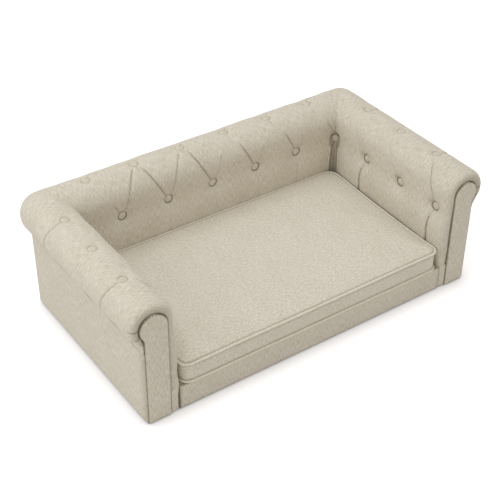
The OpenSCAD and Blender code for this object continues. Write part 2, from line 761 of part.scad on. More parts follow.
module back_outer_cover() color(cloth_color)
  box(0, cloth_t, cloth_t, body_w - cloth_t, under_z, seam_z);
module back_buttons() color(cloth_color) {
  back_wall() {
    for (k = [1 : back_tufts - 1]) low_button(back_lows[k]);
    for (u = back_ups) up_button(u);
  }
  corner_button(-1);
  corner_button(1);
}

// Screws of both arms
module frame_screws() color(metal_color) {
  left_wall() arm_screws();
  right_wall() arm_screws();
}
module panel_screws() color(metal_color) {
  left_wall() arm_panel_screws();
  right_wall() arm_panel_screws();
}

// Cushion: every loop of points follows the same outline, drawn in by an inset
corner_steps = 4;
front_steps = 7;
side_steps = 4;
rear_steps = 5;
function corner_arc(cx, cy, r, a0) =
  [for (k = [0 : corner_steps])
    let (a = a0 + k * 90 / corner_steps)
    [cx + r * cos(a), cy + r * sin(a)]];
function bow(a, b, sag, n) =
  [for (k = [1 : n]) let (f = k / (n + 1)) lerp(a, b, f) + sag * 4 * f * (1 - f)];
function cushion_loop(inset) =
  let (rf = max(front_corner - inset, least_r))
  let (rb = max(back_corner - inset, least_r))
  let (x = cushion_half - inset)
  let (y0 = cushion_front_y + inset)
  let (y1 = cushion_back_y - inset)
  concat(
    corner_arc(-x + rf, y0 + rf, rf, 180),
    bow([-x + rf, y0], [x - rf, y0], [0, drawn_in], front_steps),
    corner_arc(x - rf, y0 + rf, rf, 270),
    bow([x, y0 + rf], [x, y1 - rb], [-drawn_in, 0], side_steps),
    corner_arc(x - rb, y1 - rb, rb, 0),
    bow([x - rb, y1], [-x + rb, y1], [0, 0], rear_steps),
    corner_arc(-x + rb, y1 - rb, rb, 90),
    bow([-x, y1 - rb], [-x, y0 + rf], [drawn_in, 0], side_steps));
function level(loop, z) = [for (p = loop) [p.x, p.y, z]];

// Solid through a list of [inset, z] rings: a closed band, or capped at its first and last ring
module ring_solid(rings, capped) {
  count = len(cushion_loop(0));
  last = len(rings) - 1;
  mid_y = (cushion_front_y + cushion_back_y) / 2;
  points = concat([for (r = rings) each level(cushion_loop(r[0]), r[1])],
    capped ? [[0, mid_y, rings[0][1]], [0, mid_y, rings[last][1]]] : []);
  mid = (last + 1) * count;
  skin = [for (j = [0 : capped ? last - 1 : last], k = [0 : count - 1]) each
    let (a = j * count, b = (j + 1) % (last + 1) * count, m = (k + 1) % count)
    [[a + k, b + k, b + m], [a + k, b + m, a + m]]];
  caps = capped ? [for (k = [0 : count - 1]) each
    let (m = (k + 1) % count, a = last * count)
    [[mid, k, m], [mid + 1, a + m, a + k]]] : [];
  polyhedron(points = points, faces = concat(skin, caps), convexity = 10);
}
piping_sides = 8;
module piping(z) {
  half_side = 180 / piping_sides;
  r = piping_r / cos(half_side);
  color(cloth_color) ring_solid(
    [for (k = [0 : piping_sides - 1])
      let (a = half_side * (2 * k + 1))
      [piping_r - r * cos(a), z + r * sin(a)]], false);
}
module zip_pocket(grow, y_in) translate([0, 0, zip_z])
  box(-zip_l / 2, zip_l / 2, cushion_back_y - y_in, cushion_back_y + piping_d,
    -zip_h / 2 - grow, zip_h / 2 + grow);
module cushion_foam() color(foam_color) difference() {
  translate([0, 0, cushion_z + skin_t])
    linear_extrude(cushion_h - 2 * skin_t) polygon(cushion_loop(piping_d));
  zip_pocket(tape_t, zip_in + tape_t);
}
module cushion_top() color(cloth_color) ring_solid(concat(
  [[piping_d, cushion_top_z - skin_t], [piping_d, cushion_top_z - edge_drop]],
  [for (r = crown_rings) [piping_d + r[0], cushion_top_z + r[1] * crown_h]]), true);
module cushion_bottom() color(cloth_color)
  ring_solid([[piping_d, cushion_z], [piping_d, cushion_z + skin_t]], true);
module cushion_boxing() color(cloth_color) difference() {
  ring_solid([
    [piping_d, cushion_z + piping_d], [boxing_in, cushion_z + piping_d],
    [boxing_mid, cushion_z + cushion_h / 2], [boxing_in, cushion_top_z - piping_d],
    [piping_d, cushion_top_z - piping_d]], false);
  zip_pocket(0, zip_in);
}
module top_piping() piping(cushion_top_z - piping_r);
module bottom_piping() piping(cushion_z + piping_r);

// Zip
module zip_channel() color(felt_color) difference() {
  translate([0, 0, zip_z]) box(-zip_l / 2, zip_l / 2, cushion_back_y - zip_in - tape_t,
    cushion_back_y - piping_d, -zip_h / 2 - tape_t, zip_h / 2 + tape_t);
  zip_pocket(0, zip_in);
}
module zip_slider() color(metal_color) translate([slider_start, cushion_back_y, zip_z]) {
  box(-slider_l / 2, slider_l / 2, -zip_in + slider_gap, -slider_face, -slider_h / 2, slider_h / 2);
  for (side = [-1, 1]) hinge_lug(side);
  pin_half = pull_w / 2 + lug_gap + lug_t / 2;
  translate([0, -pin_in, -pin_half]) cylinder(h = 2 * pin_half, d = pin_d);
}
module hinge_lug(side) {
  low = pull_w / 2 + lug_gap;
  z = side > 0 ? low : -low - lug_t;
  box(-pin_d, pin_d, -slider_face - slider_t / 2, -pin_in + pin_d, z, z + lug_t);
}
bore_d = pin_d + bore_gap;
module zip_pull() color(metal_color) translate([slider_start, cushion_back_y - pin_in, zip_z])
  difference() {
    union() {
      translate([0, 0, -pull_w / 2]) cylinder(h = pull_w, d = bore_d + 2 * barrel_t);
      box(0, pull_l - pull_w / 2, -pull_t / 2, pull_t / 2, -pull_w / 2, pull_w / 2);
      translate([pull_l - pull_w / 2, pull_t / 2, 0]) rotate([90, 0, 0])
        cylinder(h = pull_t, d = pull_w);
    }
    translate([0, 0, -pull_w]) cylinder(h = 2 * pull_w, d = bore_d);
  }

front_rail();
rear_rail();
left_wall() side_rail();  // left_side_rail
right_wall() side_rail();  // right_side_rail
seat_slats();
corner_blocks();
seat_deck();
deck_cloth();
front_rail_cover();
dust_cover();
foot_glides();
glide_nails();
left_wall() front_former();  // left_front_former
left_wall() rear_former();  // left_rear_former
left_wall() arm_battens();  // left_battens
left_wall() arm_outer_board();  // left_outer_board
left_wall() arm_inner_board();  // left_inner_board
left_wall() arm_roll_board();  // left_roll_board
left_wall() arm_foam();  // left_foam
left_wall() arm_tufted_cover();  // left_tufted_cover
left_wall() arm_outer_cover();  // left_outer_cover
left_wall() panel_core();  // left_panel_core
left_wall() panel_cover();  // left_panel_cover
left_wall() arm_buttons();  // left_buttons
left_wall() arm_ties();  // left_button_ties
right_wall() front_former();  // right_front_former
right_wall() rear_former();  // right_rear_former
right_wall() arm_battens();  // right_battens
right_wall() arm_outer_board();  // right_outer_board
right_wall() arm_inner_board();  // right_inner_board
right_wall() arm_roll_board();  // right_roll_board
right_wall() arm_foam();  // right_foam
right_wall() arm_tufted_cover();  // right_tufted_cover
right_wall() arm_outer_cover();  // right_outer_cover
right_wall() panel_core();  // right_panel_core
right_wall() panel_cover();  // right_panel_cover
right_wall() arm_buttons();  // right_buttons
right_wall() arm_ties();  // right_button_ties
back_wall() back_formers();
back_wall() back_battens();
back_wall() back_outer_board();
back_wall() back_inner_board();
back_wall() back_roll_board();
back_wall() back_foam();
back_wall() back_tufted_cover();
back_wall() back_outer_cover();
back_buttons();
back_wall() back_ties();  // back_button_ties
frame_screws();
panel_screws();
cushion_foam();
cushion_top();
cushion_bottom();
cushion_boxing();
top_piping();
bottom_piping();
zip_channel();
zip_slider();
zip_pull();
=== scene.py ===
"""Tufted roll-arm pet bed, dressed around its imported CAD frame. All lengths are in metres."""

import math

import bmesh
import bpy
import numpy as np
from mathutils import Matrix, Vector


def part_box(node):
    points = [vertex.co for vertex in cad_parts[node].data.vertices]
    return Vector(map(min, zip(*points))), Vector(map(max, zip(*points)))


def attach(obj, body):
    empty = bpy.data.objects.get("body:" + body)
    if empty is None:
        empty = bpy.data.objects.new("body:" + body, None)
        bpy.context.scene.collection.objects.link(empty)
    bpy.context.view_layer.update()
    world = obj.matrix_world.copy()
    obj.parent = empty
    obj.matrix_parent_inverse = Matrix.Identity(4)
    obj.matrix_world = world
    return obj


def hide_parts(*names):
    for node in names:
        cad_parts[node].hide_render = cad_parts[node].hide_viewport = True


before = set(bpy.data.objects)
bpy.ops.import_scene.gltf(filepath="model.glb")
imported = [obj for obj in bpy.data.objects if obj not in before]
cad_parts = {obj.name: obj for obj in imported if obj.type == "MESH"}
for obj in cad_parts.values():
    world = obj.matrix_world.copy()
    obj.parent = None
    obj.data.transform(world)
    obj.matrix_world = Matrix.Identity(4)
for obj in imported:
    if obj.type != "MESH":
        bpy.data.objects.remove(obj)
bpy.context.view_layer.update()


def low(node):
    """Lowest corner of a CAD node."""
    return Vector(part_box(node)[0])


def high(node):
    """Highest corner of a CAD node."""
    return Vector(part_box(node)[1])


# Camera, where the photograph was taken from
LENS = 82.48
SENSOR = 36
TARGET = Vector((0.09101, 0.13788, 0.0))
DISTANCE = 3.23518
YAW = -0.61436
PITCH = 0.64035
ROLL = 0.00975


def new_object(name, data):
    made = bpy.data.objects.new(name, data)
    bpy.context.collection.objects.link(made)
    return made


def make_camera():
    back = Vector((math.sin(YAW) * math.cos(PITCH), -math.cos(YAW) * math.cos(PITCH), math.sin(PITCH)))
    level = (-back).cross(Vector((0, 0, 1))).normalized()
    rise = level.cross(-back)
    right = math.cos(ROLL) * level + math.sin(ROLL) * rise
    up = -math.sin(ROLL) * level + math.cos(ROLL) * rise
    data = bpy.data.cameras.new("camera")
    data.lens = LENS
    data.sensor_width = SENSOR
    camera = new_object("camera", data)
    axes = Matrix((right, up, back)).transposed().to_4x4()
    camera.matrix_world = Matrix.Translation(TARGET + back * DISTANCE) @ axes
    bpy.context.scene.camera = camera


make_camera()

# Sizes read from the frame
outer_x = -low("left_outer_cover").x
front_y = low("left_panel_cover").y
rear_y = high("back_outer_cover").y
body_w = 2 * outer_x
body_d = rear_y - front_y
under_z = low("left_outer_cover").z
seam_z = high("left_outer_cover").z
cloth_t = high("left_outer_cover").x + outer_x
foam_face = high("left_foam").x + outer_x
seat_z = high("deck_cloth").z
panel_t = high("left_panel_cover").y - front_y
rail_proud = low("front_rail_cover").y - front_y
roll_out = -low("left_tufted_cover").x - outer_x
roll_top = high("left_tufted_cover").z

# Section through an arm or the back, as the solids have it
ROLL_IN = 0.027
PAD_LOW = 0.022
ARM_LOW = 0.003
ARM_FULL = 0.008
FULL_Z = 0.193
PAD_TOP = 0.022
FADE = 0.060
TUCK = math.radians(215)
TAIL = 0.040
roll_r = ROLL_IN + roll_out
roll_z = roll_top - roll_r
foam_r = foam_face - ROLL_IN
face_r = foam_r + PAD_TOP
roll_mean = (face_r + roll_r) / 2

# Tufting
LOW_Z = 0.236
FIRST_TUFT = 0.0585
CORNER_IN = 0.081
BUTTON_R = 0.012
OFF_FOAM = 0.005
BACK_GAPS = 6
ARM_GAPS = 3
low_floor = foam_face + OFF_FOAM
up_floor = roll_z + foam_r + OFF_FOAM
back_pitch = (body_w - 2 * CORNER_IN) / BACK_GAPS
arm_pitch = (body_d - CORNER_IN - FIRST_TUFT) / ARM_GAPS
back_lows = [CORNER_IN + k * back_pitch for k in range(BACK_GAPS + 1)]
back_ups = [CORNER_IN + (k + 0.5) * back_pitch for k in range(BACK_GAPS)]
arm_lows = [FIRST_TUFT + k * arm_pitch for k in range(ARM_GAPS + 1)]
arm_ups = [FIRST_TUFT + (k + 0.5) * arm_pitch for k in range(ARM_GAPS)]

# Lengths along the padded surface, from the lower button row
s_seat = seat_z - LOW_Z
s_roll = roll_z - LOW_Z
s_up = s_roll + math.pi / 2 * roll_mean
s_tuck = s_roll + TUCK * roll_mean
s_seam = s_tuck + TAIL

# Dimples round the buttons, and the valley along the lower row
RIM_IN = 0.0002
HUG = 0.0045
LOW_EASE = 0.013
UP_EASE = 0.010
VALLEY = 0.005
VALLEY_S = 0.032

# Grid of a tufted cover, closer by the buttons and bent into circles round them
OFFSETS = (0.0, 0.006, 0.0105, 0.0120, 0.0132, 0.0146, 0.0165, 0.019, 0.022, 0.026, 0.031)
REACH = 0.034
RING = BUTTON_R * 1.25
GRID_U = 0.0026
GRID_S = 0.0030
FAN_LINES = 34
NEAR, ALONG, FAR, NOSE = -1, 0, 1, 2

# The rounded front end of an arm's cover
EDGE_U = 0.005
EDGE_L = 0.024
NOSE_DEPTH = 0.022
STRIP_L = panel_t - EDGE_U


# Materials
WHITE = (1, 1, 1)
FINE_THREADS = (900, 260, 1)
FLECKS = (340, 340, 1)
PATCHES = (16, 12, 1)
PATCH_SHADE = (0.955, 0.950, 0.935)
# Tint of the painted shade in creases, seams, dimples and along edges
PAINTED_SHADE_TINT = (0.36, 0.31, 0.24)
# Numbers of a mix node's sockets for a factor and two colours, and of its output
MIX_IN = (0, 6, 7)
MIX_OUT = 2


def node_tree(name):
    """New material, its node tree and its shader."""
    material = bpy.data.materials.new(name)
    material.use_nodes = True
    tree = material.node_tree
    return material, tree, tree.nodes["Principled BSDF"]


def add_node(tree, kind, **values):
    """Node with values for its inputs or settings."""
    node = tree.nodes.new(kind)
    for key, value in values.items():
        if key in node.inputs:
            node.inputs[key].default_value = value
        else:
            setattr(node, key, value)
    return node


def feed(tree, value, socket):
    """Give an input a link, a colour or a number."""
    if isinstance(value, bpy.types.NodeSocket):
        tree.links.new(value, socket)
    elif isinstance(value, tuple):
        socket.default_value = (*value, 1)
    else:
        socket.default_value = value


def object_place(tree):
    return add_node(tree, "ShaderNodeTexCoord").outputs["Object"]


def scaled(tree, source, scale):
    """Coordinates multiplied by a scale on each axis."""
    mapping = add_node(tree, "ShaderNodeMapping", vector_type="POINT", Scale=scale)
    tree.links.new(source, mapping.inputs["Vector"])
    return mapping.outputs["Vector"]


def noise_of(tree, vector, detail=2.0, rough=0.5, scale=1.0):
    node = add_node(tree, "ShaderNodeTexNoise", Scale=scale, Detail=detail, Roughness=rough)
    tree.links.new(vector, node.inputs["Vector"])
    return node.outputs["Fac"]


def ramp_of(tree, value, stops):
    """Colour ramp through (place, colour) stops."""
    node = add_node(tree, "ShaderNodeValToRGB")
    elements = node.color_ramp.elements
    while len(elements) < len(stops):
        elements.new(0.5)
    for element, (place, color) in zip(elements, stops):
        element.position = place
        element.color = (*color, 1)
    tree.links.new(value, node.inputs["Fac"])
    return node.outputs["Color"]


def mixed(tree, factor, a, b, kind="MIX"):
    """Mix of two colours, where factor, a and b are sockets or values."""
    node = add_node(tree, "ShaderNodeMix", data_type="RGBA", blend_type=kind)
    for k, value in zip(MIX_IN, (factor, a, b)):
        feed(tree, value, node.inputs[k])
    return node.outputs[MIX_OUT]


def math_of(tree, operation, a, b):
    node = add_node(tree, "ShaderNodeMath", operation=operation)
    for socket, value in zip(node.inputs, (a, b)):
        feed(tree, value, socket)
    return node.outputs[0]


def surface(tree, shader, color, values, height, distance, strength):
    """Colour and further inputs of a surface, and its bump from a height."""
    for key, value in {"Base Color": color, **values}.items():
        feed(tree, value, shader.inputs[key])
    bump = add_node(tree, "ShaderNodeBump", Strength=strength, Distance=distance)
    tree.links.new(height, bump.inputs["Height"])
    tree.links.new(bump.outputs["Normal"], shader.inputs["Normal"])


def linear(r, g, b):
    """Linear colour of an sRGB one written 0 to 255."""
    return tuple((c / 255 / 12.92) if c <= 10 else ((c / 255 + 0.055) / 1.055) ** 2.4 for c in (r, g, b))


def blend(a, b, share):
    """Colour that has a share of b in a."""
    return tuple((1 - share) * x + share * y for x, y in zip(a, b))


def cloth_material(name, pale, dark, slub_scale, shares):
    """Slubby linen: long slubs along the map's V, finer threads, flecks and soft patches. shares
    are how much of the weave is slubs, fine threads and flecks."""
    material, tree, shader = node_tree(name)
    place = add_node(tree, "ShaderNodeUVMap", uv_map="cloth").outputs["UV"]
    layers = [
        noise_of(tree, scaled(tree, place, (*slub_scale, 1)), 3.0, 0.6),
        noise_of(tree, scaled(tree, place, FINE_THREADS), 2.0, 0.6),
        noise_of(tree, scaled(tree, place, FLECKS), 3.0, 0.7),
    ]
    weave = None
    for layer, share in zip(layers, shares):
        part = math_of(tree, "MULTIPLY", layer, share)
        weave = part if weave is None else math_of(tree, "ADD", weave, part)
    color = ramp_of(tree, weave, [(0.40, dark), (0.60, pale)])
    patch = noise_of(tree, scaled(tree, place, PATCHES))
    color = mixed(tree, 1.0, color, ramp_of(tree, patch, [(0.3, PATCH_SHADE), (0.7, WHITE)]), "MULTIPLY")
    # Painted shade: a darkness attribute by points darkens the weave towards a dark tint in creases, seams,
    # dimples and along edges.
    painted_shade = add_node(tree, "ShaderNodeAttribute", attribute_name="painted_shade")
    color = mixed(tree, painted_shade.outputs["Fac"], color, tuple(c * s for c, s in zip(dark, PAINTED_SHADE_TINT)))
    values = {"Roughness": 0.92, "Specular IOR Level": 0.18, "Sheen Weight": 0.12, "Sheen Roughness": 0.45}
    surface(tree, shader, color, values, weave, 0.0012, 0.7)
    return material


def timber_material(name, pale, dark, turn):
    """Sawn softwood with its grain along one axis, where turn scales the axes."""
    material, tree, shader = node_tree(name)
    place = object_place(tree)
    rings = noise_of(tree, scaled(tree, place, turn), 5.0, 0.6)
    pores = noise_of(tree, scaled(tree, place, tuple(6 * v for v in turn)))
    color = ramp_of(tree, rings, [(0.32, dark), (0.5, pale), (0.68, blend(pale, dark, 0.2))])
    color = mixed(tree, 0.25, color, ramp_of(tree, pores, [(0.4, dark), (0.6, pale)]), "MULTIPLY")
    surface(tree, shader, color, {"Roughness": 0.75}, pores, 0.0006, 0.5)
    return material


def plywood_material():
    material, tree, shader = node_tree("plywood")
    place = object_place(tree)
    grain = noise_of(tree, scaled(tree, place, (14, 90, 120)), 5.0, 0.62)
    speck = noise_of(tree, scaled(tree, place, (300, 300, 300)))
    color = ramp_of(tree, grain, [(0.35, linear(150, 112, 72)), (0.65, linear(190, 152, 106))])
    color = mixed(tree, 0.3, color, ramp_of(tree, speck, [(0.4, (0.7, 0.6, 0.5)), (0.6, WHITE)]), "MULTIPLY")
    surface(tree, shader, color, {"Roughness": 0.7}, grain, 0.0005, 0.4)
    return material


def foam_material():
    material, tree, shader = node_tree("foam")
    place = object_place(tree)
    cells = add_node(tree, "ShaderNodeTexVoronoi", Scale=500)
    tree.links.new(place, cells.inputs["Vector"])
    depth = cells.outputs["Distance"]
    color = ramp_of(tree, depth, [(0.1, linear(205, 190, 140)), (0.7, linear(240, 230, 196))])
    surface(tree, shader, color, {"Roughness": 0.95}, depth, 0.001, 0.7)
    return material


def metal_material(name, tone, rough):
    material, tree, shader = node_tree(name)
    marks = noise_of(tree, scaled(tree, object_place(tree), (900, 900, 2500)), 3.0, 0.6)
    color = ramp_of(tree, marks, [(0.35, tuple(0.8 * c for c in tone)), (0.65, tone)])
    roughness = ramp_of(tree, marks, [(0.3, (rough - 0.06,) * 3), (0.7, (rough + 0.08,) * 3)])
    surface(tree, shader, color, {"Roughness": roughness, "Metallic": 1.0}, marks, 0.0002, 0.3)
    return material


def felt_material(name, pale, dark, scale):
    """Pressed fibres with a fuzzy sheen."""
    material, tree, shader = node_tree(name)
    fibres = noise_of(tree, object_place(tree), 6.0, 0.75, scale)
    color = ramp_of(tree, fibres, [(0.35, dark), (0.65, pale)])
    surface(tree, shader, color, {"Roughness": 0.95, "Sheen Weight": 0.2}, fibres, 0.0006, 0.6)
    return material


def twine_material():
    material, tree, shader = node_tree("twine")
    place = object_place(tree)
    plies = add_node(tree, "ShaderNodeTexWave", wave_type="BANDS", bands_direction="DIAGONAL", Scale=300,
                     Distortion=2.0)
    tree.links.new(place, plies.inputs["Vector"])
    lay = plies.outputs["Fac"]
    color = ramp_of(tree, lay, [(0.2, linear(170, 156, 122)), (0.8, linear(214, 202, 170))])
    surface(tree, shader, color, {"Roughness": 0.85}, lay, 0.0004, 0.6)
    return material


cloth = cloth_material("linen", linear(230, 225, 212), linear(192, 183, 162), (560, 60), (0.5, 0.25, 0.25))
# The cord's cloth is paler than the linen: a painted highlight.
cord_cloth_painted_highlight = cloth_material("cord_linen_painted_highlight", linear(244, 239, 226), linear(212, 204, 184), (480, 120),
                            (0.4, 0.3, 0.3))
seat_cloth = cloth_material("seat_linen", linear(236, 231, 219), linear(198, 190, 170), (110, 230),
                            (0.35, 0.15, 0.5))
timber = timber_material("softwood", linear(226, 196, 148), linear(184, 142, 92), (12, 160, 160))
plywood = plywood_material()
foam = foam_material()
steel = metal_material("zinc_steel", (0.62, 0.62, 0.60), 0.35)
zip_metal = metal_material("nickel", (0.70, 0.68, 0.64), 0.25)
zip_tape = felt_material("zip_tape", linear(196, 186, 166), linear(160, 150, 130), 900)
plastic = felt_material("glide_plastic", (0.035, 0.035, 0.037), (0.02, 0.02, 0.021), 300)
dust_cloth = felt_material("dust_cloth", (0.055, 0.055, 0.06), (0.02, 0.02, 0.022), 700)
deck_felt = felt_material("deck_cloth", linear(206, 198, 180), linear(176, 166, 144), 600)
twine = twine_material()


# Meshes
def smooth(x):
    """0 to 1 along a soft step."""
    x = np.clip(x, 0, 1)
    return x * x * (3 - 2 * x)


def bell(x, width):
    """1 where x is 0, falling softly away to both sides."""
    return np.exp(-(x / width) ** 2)


def read(items, key, width=1, kind=np.float32):
    """Array of one property of a mesh's items."""
    values = np.empty(len(items) * width, dtype=kind)
    items.foreach_get(key, values)
    return values.reshape(-1, width) if width > 1 else values


def set_cloth(mesh, uv, painted_shade):
    """Map of the cloth, by loops, and its painted shade in creases, seams, dimples and along edges, by
    points.
    """
    if uv is not None:
        layer = mesh.uv_layers.new(name="cloth")
        layer.data.foreach_set("uv", uv.astype(np.float32).ravel())
    attribute = mesh.attributes.new("painted_shade", "FLOAT", "POINT")
    if painted_shade is not None:
        attribute.data.foreach_set("value", painted_shade.astype(np.float32))


def finish_mesh(mesh, material, sharp=40):
    """One material, smooth but for edges over the sharp angle in degrees."""
    mesh.materials.clear()
    mesh.materials.append(material)
    mesh.polygons.foreach_set("use_smooth", [True] * len(mesh.polygons))
    mesh.set_sharp_from_angle(angle=math.radians(sharp))


def add_piece(name, points, faces, body, material, uv=None, painted_shade=None, sharp=40):
    """Piece from points and faces, riding on a body, with its map and painted shade by points."""
    mesh = bpy.data.meshes.new(name)
    mesh.from_pydata([tuple(p) for p in points], [], faces)
    mesh.validate()
    loops = read(mesh.loops, "vertex_index", kind=np.int32)
    set_cloth(mesh, None if uv is None else np.asarray(uv)[loops], painted_shade)
    finish_mesh(mesh, material, sharp)
    piece = new_object(name, mesh)
    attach(piece, body)
    return piece


def flipped(faces):
    return [f[::-1] for f in faces]


def ripple(x, y, scale, seed):
    """Soft irregular waves, about -1 to 1, from a few crossed sines."""
    total = 0
    draw = np.random.default_rng(seed)
    for k in range(5):
        angle, phase = draw.uniform(0, 2 * math.pi, 2)
        wave = scale * draw.uniform(0.6, 1.6)
        total = total + np.sin(2 * math.pi * (x * math.cos(angle) + y * math.sin(angle)) / wave + phase)
    return total / 3


def spread_lines(centres, offsets, start, end, spacing):
    """Places from start to end: close together by the centres, evenly spaced between."""
    marks = [start, end]
    for c in centres:
        marks += [c + side * d for d in offsets for side in (-1, 1)]
    marks = sorted({round(m, 6) for m in marks if start <= m <= end})
    places = []
    for a, b in zip(marks, marks[1:]):
        count = max(1, math.ceil((b - a) / spacing - 0.01))
        places += [a + (b - a) * k / count for k in range(count)]
    return np.array(places + [marks[-1]])


# The padded surface

def fullness(u):
    """How full an arm's padding is: 1 along the wall, fading to 0 at the corner."""
    f = np.clip((body_d - foam_face - PAD_TOP - u) / FADE, 0, 1)
    return (1 - np.cos(math.pi * f)) / 2


def face_pad(z, w):
    """Thickness of the padding over the foam's face, w of the way from a back's to an arm's."""
    low_pad = PAD_LOW + ARM_LOW * w
    full = PAD_LOW + ARM_FULL * w
    rise = np.clip((z - seat_z) / (FULL_Z - seat_z), 0, 1)
    fall = np.clip((z - FULL_Z) / (roll_z - FULL_Z), 0, 1)
    below = low_pad + (full - low_pad) * np.sin(math.pi / 2 * rise)
    above = full + (PAD_TOP - full) * (1 - np.cos(math.pi / 2 * fall))
    return np.where(z < FULL_Z, below, above)


def plump(s, w):
    """Place (t, z) on the padded surface before tufting, and its outward direction."""
    a = (s - s_roll) / roll_mean
    face = s <= s_roll
    front = (a > 0) & (a <= math.pi / 2)
    over = (a > math.pi / 2) & (s <= s_tuck)
    f = np.clip((s - s_tuck) / TAIL, 0, 1)
    tuck_t = ROLL_IN + roll_r * math.cos(TUCK)
    tuck_z = roll_z + roll_r * math.sin(TUCK)
    t = np.select([face, front, over],
                  [foam_face + face_pad(LOW_Z + s, w), ROLL_IN + face_r * np.cos(a),
                   ROLL_IN + roll_r * np.cos(a)],
                  tuck_t * (1 - f) ** 2)
    z = np.select([face, front | over], [LOW_Z + s, roll_z + roll_r * np.sin(a)],
                  tuck_z + (seam_z - tuck_z) * f)
    turn = np.clip(a, 0, TUCK)
    last = np.clip(f * 1.5, 0, 1)
    nt = np.cos(turn) * (1 - last) - last
    nz = np.sin(turn) * (1 - last)
    size = np.hypot(nt, nz)
    return t, z, nt / size, nz / size


def padding(s, w):
    """Thickness between the plump surface and the lining."""
    a = (s - s_roll) / roll_mean
    f = np.clip((s - s_tuck) / TAIL, 0, 1)
    bend = np.clip(a / (math.pi / 2), 0, 1)
    roll = PAD_TOP + (roll_r - foam_r - PAD_TOP) * smooth(bend)
    return np.where(s <= s_roll, face_pad(LOW_Z + s, w), roll * (1 - f) + cloth_t * f)


# Pleats, each a path over the cloth in (u, s), its depth and its shape

def curve_through(points, count=14):
    """Smooth path through a few points."""
    p = np.array([points[0]] + list(points) + [points[-1]], dtype=float)
    path = []
    for k in range(1, len(p) - 2):
        a, b, c, d = p[k - 1:k + 3]
        for f in np.arange(0, 1, 1 / count):
            path.append(0.5 * (2 * b + (c - a) * f + (2 * a - 5 * b + 4 * c - d) * f ** 2
                               + (3 * b - a - 3 * c + d) * f ** 3))
    path.append(p[-2])
    return np.array(path)


def pleat_shape(U, S, path, depth, steep=0.0016, soft=0.006, lip=0.0, taper=(0.15, 0.3), side=1, ink=1.0,
                shown=1.0):
    """Depth and painted shade that one pleat adds at each point. It has a steep and a soft side, a lip over
    the steep one, and tapers at both ends of the shown share of its path."""
    reach = 0.03
    inside = ((U > path[:, 0].min() - reach) & (U < path[:, 0].max() + reach)
              & (S > path[:, 1].min() - reach) & (S < path[:, 1].max() + reach))
    u, s = U[inside], S[inside]
    best = np.full(u.shape, 9.0)
    signed = np.zeros(u.shape)
    along = np.zeros(u.shape)
    lengths = np.hypot(*(path[1:] - path[:-1]).T)
    total = lengths.sum()
    run = 0
    for a, b, length in zip(path[:-1], path[1:], lengths):
        du, ds = (b - a) / max(length, 1e-9)
        f = np.clip((u - a[0]) * du + (s - a[1]) * ds, 0, length)
        x, y = u - a[0] - f * du, s - a[1] - f * ds
        dist = np.hypot(x, y)
        nearer = dist < best
        best = np.where(nearer, dist, best)
        signed = np.where(nearer, side * (x * ds - y * du), signed)
        along = np.where(nearer, (run + f) / total, along)
        run += length
    ends = smooth(along / max(taper[0], 1e-6)) * smooth((shown - along) / max(taper[1], 1e-6))
    sharp = np.sign(signed) * best
    groove = np.where(sharp > 0, np.exp(-best / steep), bell(best, soft))
    bulge = lip * bell(sharp - 0.006, 0.0035)
    result = np.zeros(U.shape)
    dark = np.zeros(U.shape)
    result[inside] = (depth * groove - bulge) * ends
    # Painted shade along the pleat's line.
    dark[inside] = bell(best, 0.0011) * ends * min(1, depth / 0.004) * ink
    return result, dark


# Pleats of the back: depths and shown shares by button from left to right, and paths from the button
LEFT_DEPTHS = [0.0042 * f for f in (0.5, 0.6, 1.0, 1.0, 0.9, 0.9, 0.6)]
LEFT_SHOWN = [1.0, 0.4, 1.0, 1.0, 0.75, 0.65, 0.6]
RIGHT_DEPTHS = [0.0030 * f for f in (0.3, 1.0, 0.8, 0.5, 0.4, 0.2, 0.2)]
RIGHT_SHOWN = [0.5, 1.0, 1.0, 0.6, 0.5, 0.4, 0.4]
DOWN_DEPTHS = [0.0026 * f for f in (0.0, 0.35, 0.6, 0.35, 0.55, 0.6, 0.0)]
LEFT_PATH = [(-0.007, 0.010), (-0.022, 0.038), (-0.040, 0.071), (-0.058, 0.117), (-0.066, 0.131),
             (-0.069, 0.137)]
RIGHT_PATH = [(0.008, 0.010), (0.014, 0.038), (0.023, 0.073), (0.037, 0.102), (0.055, 0.128), (0.064, 0.138)]
FRONT_DEPTHS = [0.0011, 0.0018, 0.0018, 0.0011, 0.0018, 0.0011]
# Wide faint folds of an arm
FAINT = dict(soft=0.010, steep=0.006, ink=0.2)
# Short folds by the panel's neck: place round the roll, length and sway
NECK_FOLDS = [(s_up + 0.094, 0.018, 0.002), (s_up + 0.126, 0.016, 0.006), (s_up + 0.146, 0.022, 0.003),
              (s_up + 0.161, 0.020, -0.002)]


def pleat(b, path, depth, **shape):
    """Pleat whose path is given from the place b along the wall."""
    return [(b + u, s) for u, s in path], depth, shape


